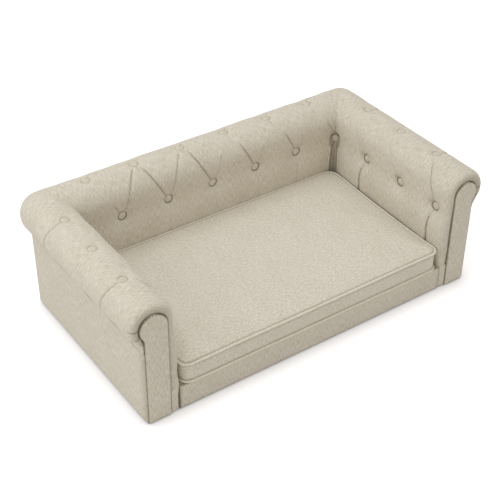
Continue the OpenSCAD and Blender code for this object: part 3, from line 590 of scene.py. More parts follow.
def back_pleats():
    """Crisp pleats up to the left of each button, faint ones to the right, one down to the seat,
    and small ones round each upper button."""
    pleats = []
    for k, b in enumerate(back_lows):
        if k > 0:
            pleats.append(pleat(b, LEFT_PATH, LEFT_DEPTHS[k], lip=0.0010, taper=(0.02, 0.25), ink=0.8,
                                shown=LEFT_SHOWN[k]))
        if k < BACK_GAPS:
            pleats.append(pleat(b, RIGHT_PATH, RIGHT_DEPTHS[k], lip=0.0006, side=-1, taper=(0.02, 0.2),
                                shown=RIGHT_SHOWN[k]))
        if DOWN_DEPTHS[k] > 0:
            lean = 0.004 * math.sin(2.1 * k)
            path = [(0.002, -0.012), (0.004 + lean, -0.05), (lean, -0.10), (0.002, s_seat)]
            pleats.append(pleat(b, path, DOWN_DEPTHS[k], taper=(0.05, 0.45), soft=0.005, ink=0.6))
    for k, b in enumerate(back_ups):
        for side, rise in ((-1, 0.013), (1, 0.017)):
            path = [(side * 0.007, s_up + 0.008), (side * 0.015, s_up + rise),
                    (side * 0.024, s_up + rise + 0.004)]
            pleats.append(pleat(b, path, 0.0030, side=side, taper=(0.05, 0.6), soft=0.004, ink=0.9))
        path = [(0, s_up - 0.011), (-0.001, s_up - 0.030), (0.001, s_up - 0.052)]
        pleats.append(pleat(b, path, FRONT_DEPTHS[k], taper=(0.05, 0.7), soft=0.005))
    for end, inner in ((foam_face + PAD_LOW, 1), (body_w - foam_face - PAD_LOW, -1)):
        pleats.append(corner_pleat(end, inner))
    return pleats


def corner_pleat(end, inner):
    """Fold from beside the corner button down to the seat."""
    path = [(inner * 0.004, -0.012), (inner * 0.010, -0.045), (inner * 0.013, -0.100),
            (inner * 0.013, s_seat)]
    return pleat(end, path, 0.0050, side=-inner, taper=(0.03, 0.05), lip=0.001)


def arm_pleats():
    """Pleats from the end lower buttons to the seat, from the end upper buttons over the roll to
    the seam, and a few small folds."""
    pleats = []
    half = arm_pitch / 2
    for b in (arm_lows[0], arm_lows[2]):
        path = [(0.002, -0.010), (0.007, -0.028), (0.010, -0.052), (0.009, -0.095), (0.007, s_seat)]
        pleats.append(pleat(b, path, 0.0050, side=-1, taper=(0.03, 0.05), lip=0.0012, ink=1.1))
    for k, b in enumerate(arm_lows[:-1]):
        if k == 0:
            path = [(0.006, 0.012), (0.12 * half, 0.25 * s_up), (0.45 * half, 0.62 * s_up),
                    (0.85 * half, s_up - 0.016)]
            pleats.append(pleat(b, path, 0.0030, taper=(0.02, 0.3), soft=0.006, lip=0.0006, ink=0.8))
        else:
            path = [(0.008, 0.010), (0.35 * half, 0.22 * s_up), (0.8 * half, 0.62 * s_up),
                    (half, s_up - 0.015)]
            pleats.append(pleat(b, path, 0.0013, taper=(0.02, 0.3), **FAINT))
        path = [(-0.008, 0.010), (-0.35 * half, 0.22 * s_up), (-0.7 * half, 0.5 * s_up)]
        pleats.append(pleat(b, path, 0.0013, side=-1, taper=(0.02, 0.6), **FAINT))
    for b in (arm_ups[0], arm_ups[2]):
        path = [(-0.003, s_up + 0.010), (-0.006, s_up + 0.030), (0.001, s_up + 0.060), (0.008, s_up + 0.095),
                (0.011, s_up + 0.130)]
        pleats.append(pleat(b, path, 0.0024, taper=(0.05, 0.25), lip=0.0008, ink=0.7))
    for b, length in zip(arm_ups, (0.034, 0.024)):
        path = [(0.006, s_up - 0.008), (0.010, s_up - 0.5 * length), (0.009, s_up - length)]
        pleats.append(pleat(b, path, 0.0022, taper=(0.05, 0.5), ink=0.8))
    pleats.append(corner_pleat(body_d - foam_face - PAD_LOW, -1))
    for s, reach, sway in NECK_FOLDS:
        path = [(-0.008, s - 0.2 * sway), (0.4 * reach, s + 0.3 * sway), (reach, s + sway)]
        pleats.append(pleat(EDGE_U, path, 0.0040, taper=(0.01, 0.6), soft=0.004, lip=0.0008, ink=1.2))
    return pleats


def button_depth(U, S, centre, floor_depth, ease):
    """Dimple round one button, flat under it, close round its rim, then easing out; and the painted shade
    along its rim.
    """
    r = np.hypot(U - centre[0], S - centre[1])
    edge = BUTTON_R - RIM_IN
    rest = (floor_depth - HUG) * np.exp(-np.clip(r - edge, 0, None) / ease)
    wall = HUG * (1 - smooth((r - BUTTON_R + 0.0024) / 0.0026))
    return rest + wall, bell(r - edge, 0.0017)


def round_grid(U, S, centre):
    """Grid lines bent into circles round a button."""
    du, ds = U - centre[0], S - centre[1]
    square = np.maximum(abs(du), abs(ds))
    circle = np.hypot(du, ds)
    keep = smooth((square - RING) / (REACH - RING))
    factor = np.where(circle > 0, square / np.maximum(circle, 1e-9), 1)
    factor = np.where(square < REACH, factor + (1 - factor) * keep, 1)
    return centre[0] + du * factor, centre[1] + ds * factor


def corner_facet(S, lean, length_left):
    """Place t of the flat under a corner button for a column that leans to the mitre, and how
    much of it shows. length_left is what is left of the wall where the columns start to lean."""
    v = abs(lean)
    from_end = (length_left + (2 * CORNER_IN - length_left) * v) / (1 + v)
    r = np.hypot(math.sqrt(2) * (from_end - CORNER_IN), S)
    return 2 * CORNER_IN - from_end, np.where(v > 0, 1 - smooth((r - BUTTON_R - 0.001) / 0.017), 0)


def cover_points(U, S, lean, length, far, arm, pleats):
    """Points (t, z) of the dressed cover, its painted shade in creases, dimples and the corner, and its depth
    under the plump surface. lean runs from 0 along the wall to 1 or -1 at a mitre."""
    w = fullness(U) * (1 - abs(lean)) if arm else np.zeros(U.shape)
    t0, z0, nt, nz = plump(S, w)
    lows, ups = (arm_lows[:-1], arm_ups) if arm else (back_lows[1:-1], back_ups)
    valley = VALLEY * bell(S, VALLEY_S)
    depth = np.zeros(U.shape)
    painted_shade = np.zeros(U.shape)
    up_depth = roll_z + roll_r - up_floor
    # Painted shade: a dark ring round each button's rim, and on an arm a dark patch above and to the rear of
    # each lower button.
    for b in lows:
        deep, rim = button_depth(U, S, (b, 0), t0 - low_floor - valley, LOW_EASE)
        depth = np.maximum(depth, deep)
        painted_shade = np.maximum(painted_shade, rim)
        if arm:
            painted_shade = np.maximum(painted_shade, 0.4 * bell(U - b - 0.006, 0.011) * bell(S - 0.010, 0.009))
    depth = depth + valley
    for b in ups:
        deep, rim = button_depth(U, S, (b, s_up), up_depth, UP_EASE)
        depth = np.maximum(depth, deep)
        painted_shade = np.maximum(painted_shade, (0.45 if arm else 0.35) * rim)
    room = np.clip(1 - (depth - valley) / 0.008, 0, 1)
    off_mitre = 1 - abs(lean) ** 3
    # Each pleat adds depth and painted shade.
    for path, deep, shape in pleats:
        extra, dark = pleat_shape(U, S, curve_through(path), deep, **shape)
        depth = depth + extra * (0.25 + 0.75 * room) * off_mitre
        painted_shade = np.maximum(painted_shade, dark * (0.4 + 0.6 * room))
    calm = smooth(abs(S - s_seam) / 0.03) * smooth((S - s_seat) / 0.02) * off_mitre
    depth = depth - 0.0007 * calm * ripple(U, S, 0.09, 3 if arm else 5)
    depth = np.minimum(depth, padding(S, w) - 0.0008)
    facet, share = corner_facet(S, lean, length - far)
    depth = depth + (t0 - facet - depth) * share
    # Painted shade by the mitre, below the corner button.
    from_mitre = np.minimum(length - t0 - U, 1.0 if arm else U - t0)
    painted_shade = np.maximum(painted_shade, 0.45 * smooth((0.017 - from_mitre) / 0.008) * smooth((-S - 0.010) / 0.012))
    depth = depth + 0.0012 * bell(s_seam - S, 0.0025)
    return t0 - nt * depth, z0 - nz * depth, painted_shade, depth


def turned(T, S, start, v, length):
    """Place (t, u) at the share v of the way from start to the mitre, for points t deep in the
    wall: the roll's outer side turns the corner as a ball, which shrinks away at the seam."""
    r = np.clip(ROLL_IN - T, 0, None) * (1 - np.clip((S - s_tuck) / TAIL, 0, 1))
    straight = length - T - r
    way = start + (straight + r * math.pi / 4 - start) * v
    a = np.where(r > 1e-6, np.clip(way - straight, 0, None) / np.maximum(r, 1e-6), 0)
    return T + r * (1 - np.cos(a)), np.where(a > 0, straight + r * np.sin(a), way)


# A front panel's scroll: centre in from the outer face, height and radius
SCROLL_T = 0.031
SCROLL_Z = 0.283
SCROLL_R = 0.036


def panel_step(S):
    """How much deeper than the foam's face the front panel's edge lies, round an arm."""
    a = np.clip((S - s_roll) / roll_mean, 0, TUCK)
    off_t, off_z = ROLL_IN - SCROLL_T, roll_z - SCROLL_Z
    along = off_t * np.cos(a) + off_z * np.sin(a)
    reach = np.sqrt(along ** 2 - off_t ** 2 - off_z ** 2 + (SCROLL_R + 0.0005) ** 2) - along
    return (foam_r - reach) * (1 - np.clip((S - s_tuck) / TAIL, 0, 1))


def cover_lining(rows, arm, length):
    """Lining of a tufted cover: the foam's face and roll, one point a row at both ends of the wall."""
    a = np.clip((rows - s_roll) / roll_mean, 0, TUCK)
    t = np.where(rows <= s_roll, foam_face, ROLL_IN + foam_r * np.cos(a))
    z = np.where(rows <= s_roll, LOW_Z + rows, roll_z + foam_r * np.sin(a))
    end_t, end_z = ROLL_IN + foam_r * math.cos(TUCK), roll_z + foam_r * math.sin(TUCK)
    tail = np.clip((rows - s_tuck) / (TAIL * 0.4), 0, 1)
    drop = np.clip((rows - s_tuck) / TAIL, 0, 1)
    t = np.where(rows > s_tuck, end_t + (cloth_t - end_t) * tail, t)
    z = np.where(rows > s_tuck, end_z + (seam_z - end_z) * drop, z)
    near_u = np.full(len(rows), EDGE_U + 0.005) if arm else t
    return np.concatenate([np.stack([t, near_u, z], axis=-1), np.stack([t, length - t, z], axis=-1)])


def cover_faces(count_u, n):
    """Faces of the dressed surface, of its lining, and between the two all round."""
    faces = grid_faces(count_u, n)
    base = count_u * n
    last = (count_u - 1) * n
    for k in range(n - 1):
        for a, b in ((base, 0), (last, base + n), (base + n, base)):
            faces.append([a + k, a + k + 1, b + k + 1, b + k])
    faces.append([c * n for c in range(count_u)] + [base + n, base])
    faces.append([c * n + n - 1 for c in range(count_u - 1, -1, -1)] + [base + n - 1, base + 2 * n - 1])
    return faces


def tufted_cover(name, wall, arm):
    """Closed form: the dressed surface outside, the foam's face and roll as lining."""
    length = body_d if arm else body_w
    lows, ups = (arm_lows[:-1], arm_ups) if arm else (back_lows[1:-1], back_ups)
    quarter_pitch = (arm_pitch if arm else back_pitch) / 4
    far = length - CORNER_IN - quarter_pitch
    start = EDGE_U + EDGE_L if arm else CORNER_IN + quarter_pitch
    rows = spread_lines([0, s_up], OFFSETS, s_seat, s_seam, GRID_S)
    fan = np.linspace(0, 1, FAN_LINES)[1:]
    first = (NOSE, np.radians(np.arange(-80, 90, 10))) if arm else (NEAR, -fan[::-1])
    groups = [first, (ALONG, spread_lines(lows + ups, OFFSETS, start, far, GRID_U)), (FAR, fan)]
    kinds = np.concatenate([np.full(len(values), kind) for kind, values in groups])
    K, S = np.meshgrid(kinds, rows, indexing="ij")
    V, _ = np.meshgrid(np.concatenate([values for _, values in groups]), rows, indexing="ij")
    t_mitre = plump(S, 0)[0]
    U = np.where(K == ALONG, V, 0)
    U = np.where(K == FAR, far + V * (length - t_mitre - far), U)
    U = np.where(K == NEAR, start + V * (start - t_mitre), U)
    lean = np.where(abs(K) == 1, V, 0)

    # The rounded end, over the panel's edge and in behind it
    nose = K == NOSE
    outer, inner = nose & (V >= 0), nose & (V < 0)
    up_from_seat = smooth((S - s_seat) / 0.05)
    pad = padding(S, 1.0 if arm else 0.0)
    edge_depth = np.minimum(STRIP_L + (NOSE_DEPTH - STRIP_L) * up_from_seat, pad - 0.003)
    to_panel = pad + panel_step(S)
    U = np.where(outer, EDGE_U + (STRIP_L + (EDGE_L - STRIP_L) * up_from_seat) * (1 - np.cos(V)), U)
    U = np.where(inner, EDGE_U + 0.006 * (1 - np.cos(V)), U)
    for centre in [(b, 0) for b in lows] + [(b, s_up) for b in ups]:
        U, S = round_grid(U, S, centre)
    front_u = np.where(inner, EDGE_U + 0.001, U)
    pleats = arm_pleats() if arm else back_pleats()
    T, Z, painted_shade, depth = cover_points(front_u, S, lean, length, far, arm, pleats)
    if arm:
        t0, z0, nt, nz = plump(S, fullness(U))
        rounding = np.where(outer, edge_depth * (1 - np.sin(V)), 0)
        rounding = np.where(inner, edge_depth + (to_panel - 0.0008 - edge_depth) * np.sin(-V), rounding)
        room = np.clip(1 - rounding / np.maximum(pad, 1e-6), 0, 1)
        total = np.where(nose, np.minimum(rounding + depth * room, to_panel - 0.0006), depth)
        # Painted shade where the rounded end turns in towards the panel, stronger up on the roll.
        shade = 0.12 + 0.20 * smooth((S - s_roll) / 0.06)
        shade = shade * smooth(rounding / np.maximum(to_panel, 1e-6) * 1.2)
        painted_shade = np.where(nose, np.maximum(painted_shade, shade), painted_shade)
        T = t0 - nt * total
        Z = z0 - nz * total
    cloth_u = U.copy()
    far_t, far_u = turned(T, S, far, V, length)
    near_t, near_u = turned(T, S, length - start, -V, length)
    T = np.where(K == FAR, far_t, np.where(K == NEAR, near_t, T))
    U = np.where(K == FAR, far_u, np.where(K == NEAR, length - near_u, U))
    for i in range(nose.any(axis=1).sum() - 1, -1, -1):
        cloth_u[i] = cloth_u[i + 1] - np.hypot(U[i + 1] - U[i], np.hypot(T[i + 1] - T[i], Z[i + 1] - Z[i]))

    lining = cover_lining(rows, arm, length)
    points = np.concatenate([np.stack([T, U, Z], axis=-1).reshape(-1, 3), lining])
    uv = np.concatenate([np.stack([cloth_u, S], axis=-1).reshape(-1, 2),
                         np.stack([np.tile(rows, 2), np.repeat([0, 1.0], len(rows))], axis=-1)])
    painted_shade = np.concatenate([painted_shade.ravel(), np.zeros(len(lining))])
    faces = cover_faces(*U.shape)
    if arm:
        strip_points, strip_faces, strip_uv = front_strip(len(points))
        points = np.concatenate([points, strip_points])
        faces += strip_faces
        uv = np.concatenate([uv, strip_uv])
        painted_shade = np.concatenate([painted_shade, np.zeros(len(strip_points))])
    faces = faces if wall == "right" else flipped(faces)
    return add_piece(name, to_room(points, wall), faces, "sofa", cloth, uv, painted_shade, 55)


def grid_faces(count_a, count_b, first=0, flip=False):
    """Quads of a grid whose second index runs fastest."""
    i, j = np.meshgrid(np.arange(count_a - 1), np.arange(count_b - 1), indexing="ij")
    a = first + (i * count_b + j).ravel()
    quads = np.stack([a, a + 1, a + count_b + 1, a + count_b], axis=-1)
    return (quads[:, ::-1] if flip else quads).tolist()


def rim_of(count_a, count_b):
    """Point numbers round the edge of a grid, in order."""
    return (list(range(count_b)) + [i * count_b + count_b - 1 for i in range(1, count_a)]
            + [(count_a - 1) * count_b + j for j in range(count_b - 2, -1, -1)]
            + [i * count_b for i in range(count_a - 2, 0, -1)])


def closed_grid(P, Q, first=0):
    """Points and faces of the closed form between two grids of points, P outside and Q inside."""
    count_a, count_b = P.shape[:2]
    size = count_a * count_b
    rim = rim_of(count_a, count_b)
    faces = grid_faces(count_a, count_b, first) + grid_faces(count_a, count_b, first + size, True)
    for a, b in zip(rim, rim[1:] + rim[:1]):
        faces.append([first + b, first + a, first + size + a, first + size + b])
    return np.concatenate([P.reshape(-1, 3), Q.reshape(-1, 3)]), faces


def front_strip(first):
    """The arm cover's lower front, pulled down over the rail between panel and seat."""
    z = np.linspace(under_z, seat_z + 0.001, 30)
    end_t = foam_face + PAD_LOW + ARM_LOW * smooth((z - seat_z + 0.025) / 0.025)
    angles = np.radians(np.arange(0, 91, 9))
    f = np.linspace(0, 1, 5)[:-1]
    t_rows = []
    for z_k, end in zip(z, end_t):
        flat = foam_face + (end - STRIP_L - foam_face) * f
        t_rows.append(np.concatenate([flat, end - STRIP_L * (1 - np.sin(angles))]))
    T = np.array(t_rows)
    edge = EDGE_U + STRIP_L * (1 - np.cos(angles))
    U = np.tile(np.concatenate([np.full(len(f), EDGE_U), edge]), (len(z), 1))
    Z = np.tile(z[:, None], (1, T.shape[1]))
    U = U + 0.0008 * bell(Z - under_z, 0.003) + 0.0004 * ripple(T, Z, 0.05, 11)
    P = np.stack([T, U, Z], axis=-1)
    Q = np.stack([T, np.full(T.shape, panel_t), Z], axis=-1)
    Q[:, -1, 0] -= 0.001
    points, faces = closed_grid(P, Q, first)
    uv = np.stack([T - U, Z - LOW_Z], axis=-1).reshape(-1, 2)
    return points, flipped(faces), np.concatenate([uv, uv])


def to_room(points, wall):
    """Wall frame (t inwards from the outer face, u along the wall, z up) to the part's frame."""
    t, u, z = np.asarray(points, dtype=float).T
    if wall == "left":
        return np.stack([t - outer_x, front_y + u, z], axis=-1)
    if wall == "right":
        return np.stack([outer_x - t, front_y + u, z], axis=-1)
    if wall == "front":
        return np.stack([outer_x - u, front_y + t, z], axis=-1)
    return np.stack([u - outer_x, rear_y - t, z], axis=-1)
def in_room(T, U, Z, wall):
    """Grid of points in the part's frame from grids in the wall's."""
    return to_room(np.stack([T, U, Z], axis=-1).reshape(-1, 3), wall).reshape(*T.shape, 3)


def slab(name, P, Q, material, flip=False, uv=None, painted_shade=None, sharp=40, body="sofa"):
    """Closed piece between two grids of points that have the same map and painted shade."""
    points, faces = closed_grid(P, Q)
    uv = None if uv is None else np.tile(uv.reshape(-1, 2), (2, 1))
    painted_shade = None if painted_shade is None else np.tile(painted_shade.ravel(), 2)
    return add_piece(name, points, flipped(faces) if flip else faces, body, material, uv, painted_shade, sharp)


for side in ("left", "right"):
    piece = tufted_cover(side + "_arm_padding", side, True)
    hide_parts(side + "_tufted_cover")
piece = tufted_cover("back_padding", "back", False)
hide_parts("back_tufted_cover")


# Flat covers, pulled over the boards
COVER_R = 0.0026
RAIL_R = 0.004
COVER_GRID = 0.008
RAIL_GRID = 0.005
COVER_WAVES = 0.0010
RAIL_WAVES = 0.0012
EDGE_TURNS = (0, 22, 45, 66, 90)
def rounded(d, radius):
    """How far a rounded edge falls back at the distance d from the edge."""
    near = np.clip(radius - d, 0, radius)
    return radius - np.sqrt(radius ** 2 - near ** 2)


def edge_lines(start, end, radius, spacing):
    """Grid lines that crowd together at both ends."""
    steps = radius * (1 - np.cos(np.radians(EDGE_TURNS)))
    count = max(2, round((end - start - 2 * radius) / spacing))
    middle = np.linspace(start + radius, end - radius, count + 1)
    return np.concatenate([start + steps[:-1], middle, (end - steps[::-1])[1:]])


def flat_cover(name, node, wall, us, zs, front_t, inner_t, radius, waves, seed, fall=0.0):
    """Thin padded cover over a board, with rounded edges and slight waves. fall is how far it
    drops back towards its first edge."""
    U, Z = np.meshgrid(us, zs, indexing="ij")
    near, far = U - us[0], us[-1] - U
    d = np.minimum(np.minimum(near, far), np.minimum(Z - zs[0], zs[-1] - Z))
    inside = smooth(d / 0.02)
    T = front_t + rounded(d, radius) + waves * inside * (1 + ripple(U, Z, 0.16, seed)) / 2
    T = T + 0.0004 * inside * (1 + ripple(U, Z * 0.25, 0.05, seed + 1)) / 2
    T = T + fall * bell(near, 0.012)
    # Painted shade along the cover's edges, wider by a front edge that falls back, and darker along the
    # rail's ends.
    painted_shade = 0.6 * bell(d, 0.0012)
    if fall > 0:
        painted_shade = np.maximum(painted_shade, 0.35 * bell(near, 0.016))
    if wall == "front":
        painted_shade = np.maximum(painted_shade, 0.9 * bell(np.minimum(near, far), 0.003))
    P, Q = in_room(T, U, Z, wall), in_room(np.full(U.shape, inner_t), U, Z, wall)
    piece = slab(name, P, Q, cloth, wall == "right", np.stack([U, Z], axis=-1), painted_shade)
    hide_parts(node)


cover_zs = edge_lines(under_z, seam_z, COVER_R, COVER_GRID)
for side in ("left", "right"):
    flat_cover(side + "_side_cloth", side + "_outer_cover", side,
               edge_lines(rail_proud, body_d, COVER_R, COVER_GRID), cover_zs,
               0.0, cloth_t, COVER_R, COVER_WAVES, 21, 0.0025)
flat_cover("rear_cloth", "back_outer_cover", "back",
           edge_lines(cloth_t, body_w - cloth_t, COVER_R, COVER_GRID), cover_zs,
           0.0, cloth_t, COVER_R, COVER_WAVES, 31)
rail_x = high("front_rail_cover").x
flat_cover("rail_cloth", "front_rail_cover", "front",
           edge_lines(outer_x - rail_x, outer_x + rail_x, RAIL_R, COVER_GRID),
           edge_lines(under_z, seat_z, RAIL_R, RAIL_GRID), rail_proud, panel_t, RAIL_R, RAIL_WAVES, 41)


# Front panels
PANEL_GAP = 0.002
PANEL_R = 0.0045
PANEL_W = 0.068
PANEL_GRID = 0.0035
NECK_Z = 0.255
BOARD_IN = 0.0035
PUCKERS = (150, 172, 196, 221, 250)

def panel_span(z, inset=0.0):
    """Outer and inner side of a panel at height z."""
    r = SCROLL_R - inset
    out = cloth_t + PANEL_GAP + inset
    bend = np.sqrt(np.clip(r ** 2 - (z - SCROLL_Z) ** 2, 0, None))
    tuck_t, tuck_z = SCROLL_T + r * math.cos(TUCK), SCROLL_Z + r * math.sin(TUCK)
    lift = np.clip((z - NECK_Z) / (tuck_z - NECK_Z), 0, 1)
    slope = out + (tuck_t - out) * lift
    return np.where(z < tuck_z, slope, SCROLL_T - bend), np.where(z < SCROLL_Z, SCROLL_T + r, SCROLL_T + bend)


def panel_heights(start, inset):
    """Grid lines up a panel, crowded at its foot and round its top."""
    top = SCROLL_Z + SCROLL_R - inset
    bends = SCROLL_Z + (top - 0.0002 - SCROLL_Z) * np.sin(np.radians(np.arange(0, 91, 3.0)))
    foot = edge_lines(start, NECK_Z, PANEL_R, 0.006)[:-4]
    return np.concatenate([foot, np.linspace(NECK_Z, SCROLL_Z, 16)[:-1], bends])


def panel_grid(start, inset, shares):
    """Grid (t, z) over a panel, inset all round, at shares of its width."""
    zs = panel_heights(start, inset)
    span_a, span_b = panel_span(zs, inset)
    T = span_a[:, None] + (span_b - span_a)[:, None] * shares[None, :]
    return T, np.tile(zs[:, None], (1, len(shares)))


def panel_rim(count=400, foot=30):
    """Points (t, z) all round a panel."""
    top = SCROLL_Z + SCROLL_R
    z = np.concatenate([np.linspace(under_z, top, count), np.linspace(top, under_z, count)])
    a, b = panel_span(z)
    t = np.where(np.arange(2 * count) < count, b, a)
    base = np.linspace(a[-1], b[0], foot)
    return np.concatenate([np.stack([t, z], 1), np.stack([base, np.full(foot, under_z)], 1)])


def panel(side):
    """Padded front panel: slightly crowned, its edge rolled over, with small puckers at the neck."""
    T, Z = panel_grid(under_z, 0.0, edge_lines(0, PANEL_W, PANEL_R, PANEL_GRID) / PANEL_W)
    rim = panel_rim()
    d = np.sqrt(((T[..., None] - rim[:, 0]) ** 2 + (Z[..., None] - rim[:, 1]) ** 2).min(axis=-1))
    crown = 0.0012 * smooth(d / 0.03)
    puckers = np.zeros(T.shape)
    x, y = T - SCROLL_T, Z - SCROLL_Z
    for angle in PUCKERS:
        way = math.radians(angle)
        along = x * math.cos(way) + y * math.sin(way)
        across = -x * math.sin(way) + y * math.cos(way) + 0.12 * (along - 0.04)
        puckers += 0.0007 * bell(across, 0.0022) * smooth((along - 0.020) / 0.018)
    waves = 0.0003 * ripple(T, Z, 0.05, 51) * smooth(d / 0.01)
    U = rounded(d, PANEL_R) * 0.97 + 0.0012 - crown + puckers - waves
    P, Q = in_room(T, U, Z, side), in_room(T, np.full(T.shape, panel_t), Z, side)
    # Painted shade along the panel's edge.
    piece = slab(side + "_front_panel", P, Q, cloth, side == "right", np.stack([T, Z], axis=-1),
                 0.75 * bell(d, 0.0010), 70)
    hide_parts(side + "_panel_cover")


def panel_board(side):
    """The plywood that a front panel's cloth is pulled over."""
    node = side + "_panel_core"
    T, Z = panel_grid(low(node).z, BOARD_IN, np.linspace(0, 1, 12))
    P, Q = (in_room(T, np.full(T.shape, y - front_y), Z, side) for y in (low(node).y, high(node).y))
    piece = slab(side + "_panel_board", P, Q, plywood, side == "right")
    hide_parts(node)


for side in ("left", "right"):
    panel(side)
    panel_board(side)


# Covered buttons
BUTTON_LINE = [(0.0116, 0.0), (0.0121, 0.0007), (0.0122, 0.0016), (0.0119, 0.0027), (0.0110, 0.0041),
               (0.0095, 0.0053), (0.0072, 0.0062), (0.0045, 0.0067), (0.0018, 0.0069)]
BUTTON_TOP = 0.00695
BUTTON_SIDES = 40


def button(centre, facing, seed):
    """Domed button of gathered cloth, its base at centre."""
    draw = np.random.default_rng(seed)
    angles = np.arange(0, 2 * math.pi, 2 * math.pi / BUTTON_SIDES)
    phase = draw.uniform(0, 6.28, 3)
    rings = []
    for r, h in BUTTON_LINE:
        rim = smooth((r - 0.006) / 0.006)
        gather = 0.00022 * np.sin(9 * angles + phase[0]) + 0.00016 * np.sin(14 * angles + phase[1])
        tilt = 0.0002 * np.sin(angles + phase[2])
        radius = r + gather * rim
        rings.append(np.stack([radius * np.cos(angles), radius * np.sin(angles),
                               h + (gather + tilt) * (h > 0.0005)], axis=-1))
    local = np.concatenate(rings + [np.array([[0, 0, BUTTON_TOP], [0, 0, 0.0]])])
    n = len(angles)
    faces = []
    for k in range(len(BUTTON_LINE) - 1):
        for j in range(n):
            m = (j + 1) % n
            faces.append([k * n + j, k * n + m, (k + 1) * n + m, (k + 1) * n + j])
    last = (len(BUTTON_LINE) - 1) * n
    for j in range(n):
        m = (j + 1) % n
        faces.append([last + j, last + m, len(local) - 2])
        faces.append([m, j, len(local) - 1])
    turn = Vector(facing).to_track_quat("Z", "Y").to_matrix()
    points = np.array([tuple(Vector(centre) + turn @ Vector(p)) for p in local])
    radius = np.hypot(local[:, 0], local[:, 1])
    # Painted shade on the button's rim.
    painted_shade = 0.8 * smooth((radius - 0.0112) / 0.0008)
    return points, faces, local[:, :2] + draw.uniform(0, 1, 2), painted_shade


def buttons(name, node, places):
    """One piece of all the buttons at (centre, facing) places, each a little different."""
    # folds gathers each button's painted shade.
    points, faces, uvs, folds = [], [], [], []
    count = 0
    for k, (centre, facing) in enumerate(places):
        p, f, uv, painted_shade = button(centre, facing, 60 + k)
        faces += [[v + count for v in face] for face in f]
        count += len(p)
        points.append(p)
        uvs.append(uv)
        folds.append(painted_shade)
    piece = add_piece(name, np.concatenate(points), faces, "sofa", cloth, np.concatenate(uvs),
                      np.concatenate(folds), 60)
    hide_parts(node)


def button_places(wall, lows, ups):
    """Centre and facing of a wall's lower and upper buttons."""
    inward = {"left": (1, 0, 0), "right": (-1, 0, 0), "back": (0, -1, 0)}[wall]
    places = [(to_room([(low_floor, u, LOW_Z)], wall)[0], inward) for u in lows]
    return places + [(to_room([(ROLL_IN, u, up_floor)], wall)[0], (0, 0, 1)) for u in ups]


for side in ("left", "right"):
    buttons(side + "_covered_buttons", side + "_buttons", button_places(side, arm_lows[:-1], arm_ups))
corner_x, corner_y = outer_x - CORNER_IN, rear_y - CORNER_IN
buttons("back_covered_buttons", "back_buttons", button_places("back", back_lows[1:-1], back_ups) + [
    ((-corner_x, corner_y, LOW_Z), (1, -1, 0)), ((corner_x, corner_y, LOW_Z), (-1, -1, 0))])


# Foam slabs, with their cut edges softened
SOFTEN = 0.0018
LEAST_EDGE = 0.02


def foam_piece(node):
    """Slab that stands for a foam node, its long sharp edges bevelled."""
    mesh = bmesh.new()
    mesh.from_mesh(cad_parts[node].data)
    bmesh.ops.remove_doubles(mesh, verts=mesh.verts, dist=0.00001)
    bmesh.ops.dissolve_limit(mesh, angle_limit=math.radians(1), verts=mesh.verts, edges=mesh.edges)
    sharp = [e for e in mesh.edges if len(e.link_faces) == 2 and e.calc_face_angle() > math.radians(50)
             and e.calc_length() > LEAST_EDGE]
    bmesh.ops.bevel(mesh, geom=sharp, offset=SOFTEN, segments=2, affect="EDGES", profile=0.6,
                    clamp_overlap=True)
    data = bpy.data.meshes.new(node + "_cut")
    mesh.to_mesh(data)
    mesh.free()
    finish_mesh(data, foam)
    piece = new_object(node + "_cut", data)
    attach(piece, "sofa")
    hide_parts(node)


for node in ("left_foam", "right_foam", "back_foam"):
    foam_piece(node)


# Deck cloth and dust cover, stretched sheets
def stretched_sheet(name, node, material, thick, sag):
    """Sheet that stands for a node, sagging a little between its edges."""
    a, b = low(node), high(node)
    X, Y = np.meshgrid(np.linspace(a.x, b.x, 90), np.linspace(a.y, b.y, 50), indexing="ij")
    d = np.minimum(np.minimum(X - a.x, b.x - X), np.minimum(Y - a.y, b.y - Y))
    level = b.z if sag < 0 else a.z + thick
    Z = np.full(X.shape, level) + sag * smooth(d / 0.05) * (1 + 0.4 * ripple(X, Y, 0.12, 71))
    P = np.stack([X, Y, Z], axis=-1)
    piece = slab(name, P, P - np.array([0, 0, thick]), material, True, np.stack([X, Y], axis=-1), None, 60)
    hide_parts(node)


stretched_sheet("deck_sheet", "deck_cloth", deck_felt, 0.0012, -0.0005)
stretched_sheet("dust_sheet", "dust_cover", dust_cloth, 0.0006, 0.0003)


# Cushion
CORNER_FRONT = 0.028
CORNER_BACK = 0.036
DRAWN_IN = 0.004
FRONT_OUT = 0.006
SEAM_DROP = 0.010
FRONT_LEVEL = 0.05
BACK_LEVEL = 0.03
PIPING_R = 0.0035
SEAM_IN = PIPING_R + 0.0004
UNDER_DROP = 0.0028
FOAM_INSIDE = 0.0038
TAPE_T = 0.0015
PIPING_SIDES = 14
CUSHION_GRID = 0.007
# Rise of the cushion's top over its seam, by the distance from the seam, at the back and the front
CROWN = [(0.0, 0.0), (0.0030, 0.0022), (0.0065, 0.0032), (0.018, 0.0046), (0.052, 0.0082), (0.122, 0.0103)]
FRONT_CROWN = [(0.0, 0.0), (0.0030, 0.0030), (0.0065, 0.0062), (0.012, 0.0096), (0.022, 0.0126),
               (0.040, 0.0152), (0.070, 0.0178), (0.122, 0.0200)]
# Rings of the boxing: how far in they lie, and their share of the way up from the bottom seam
BOXING = [(PIPING_R + 0.0002, 0.06), (PIPING_R, 0.2), (PIPING_R - 0.0004, 0.4), (PIPING_R - 0.0004, 0.6),
          (PIPING_R, 0.8), (PIPING_R + 0.0002, 0.94)]
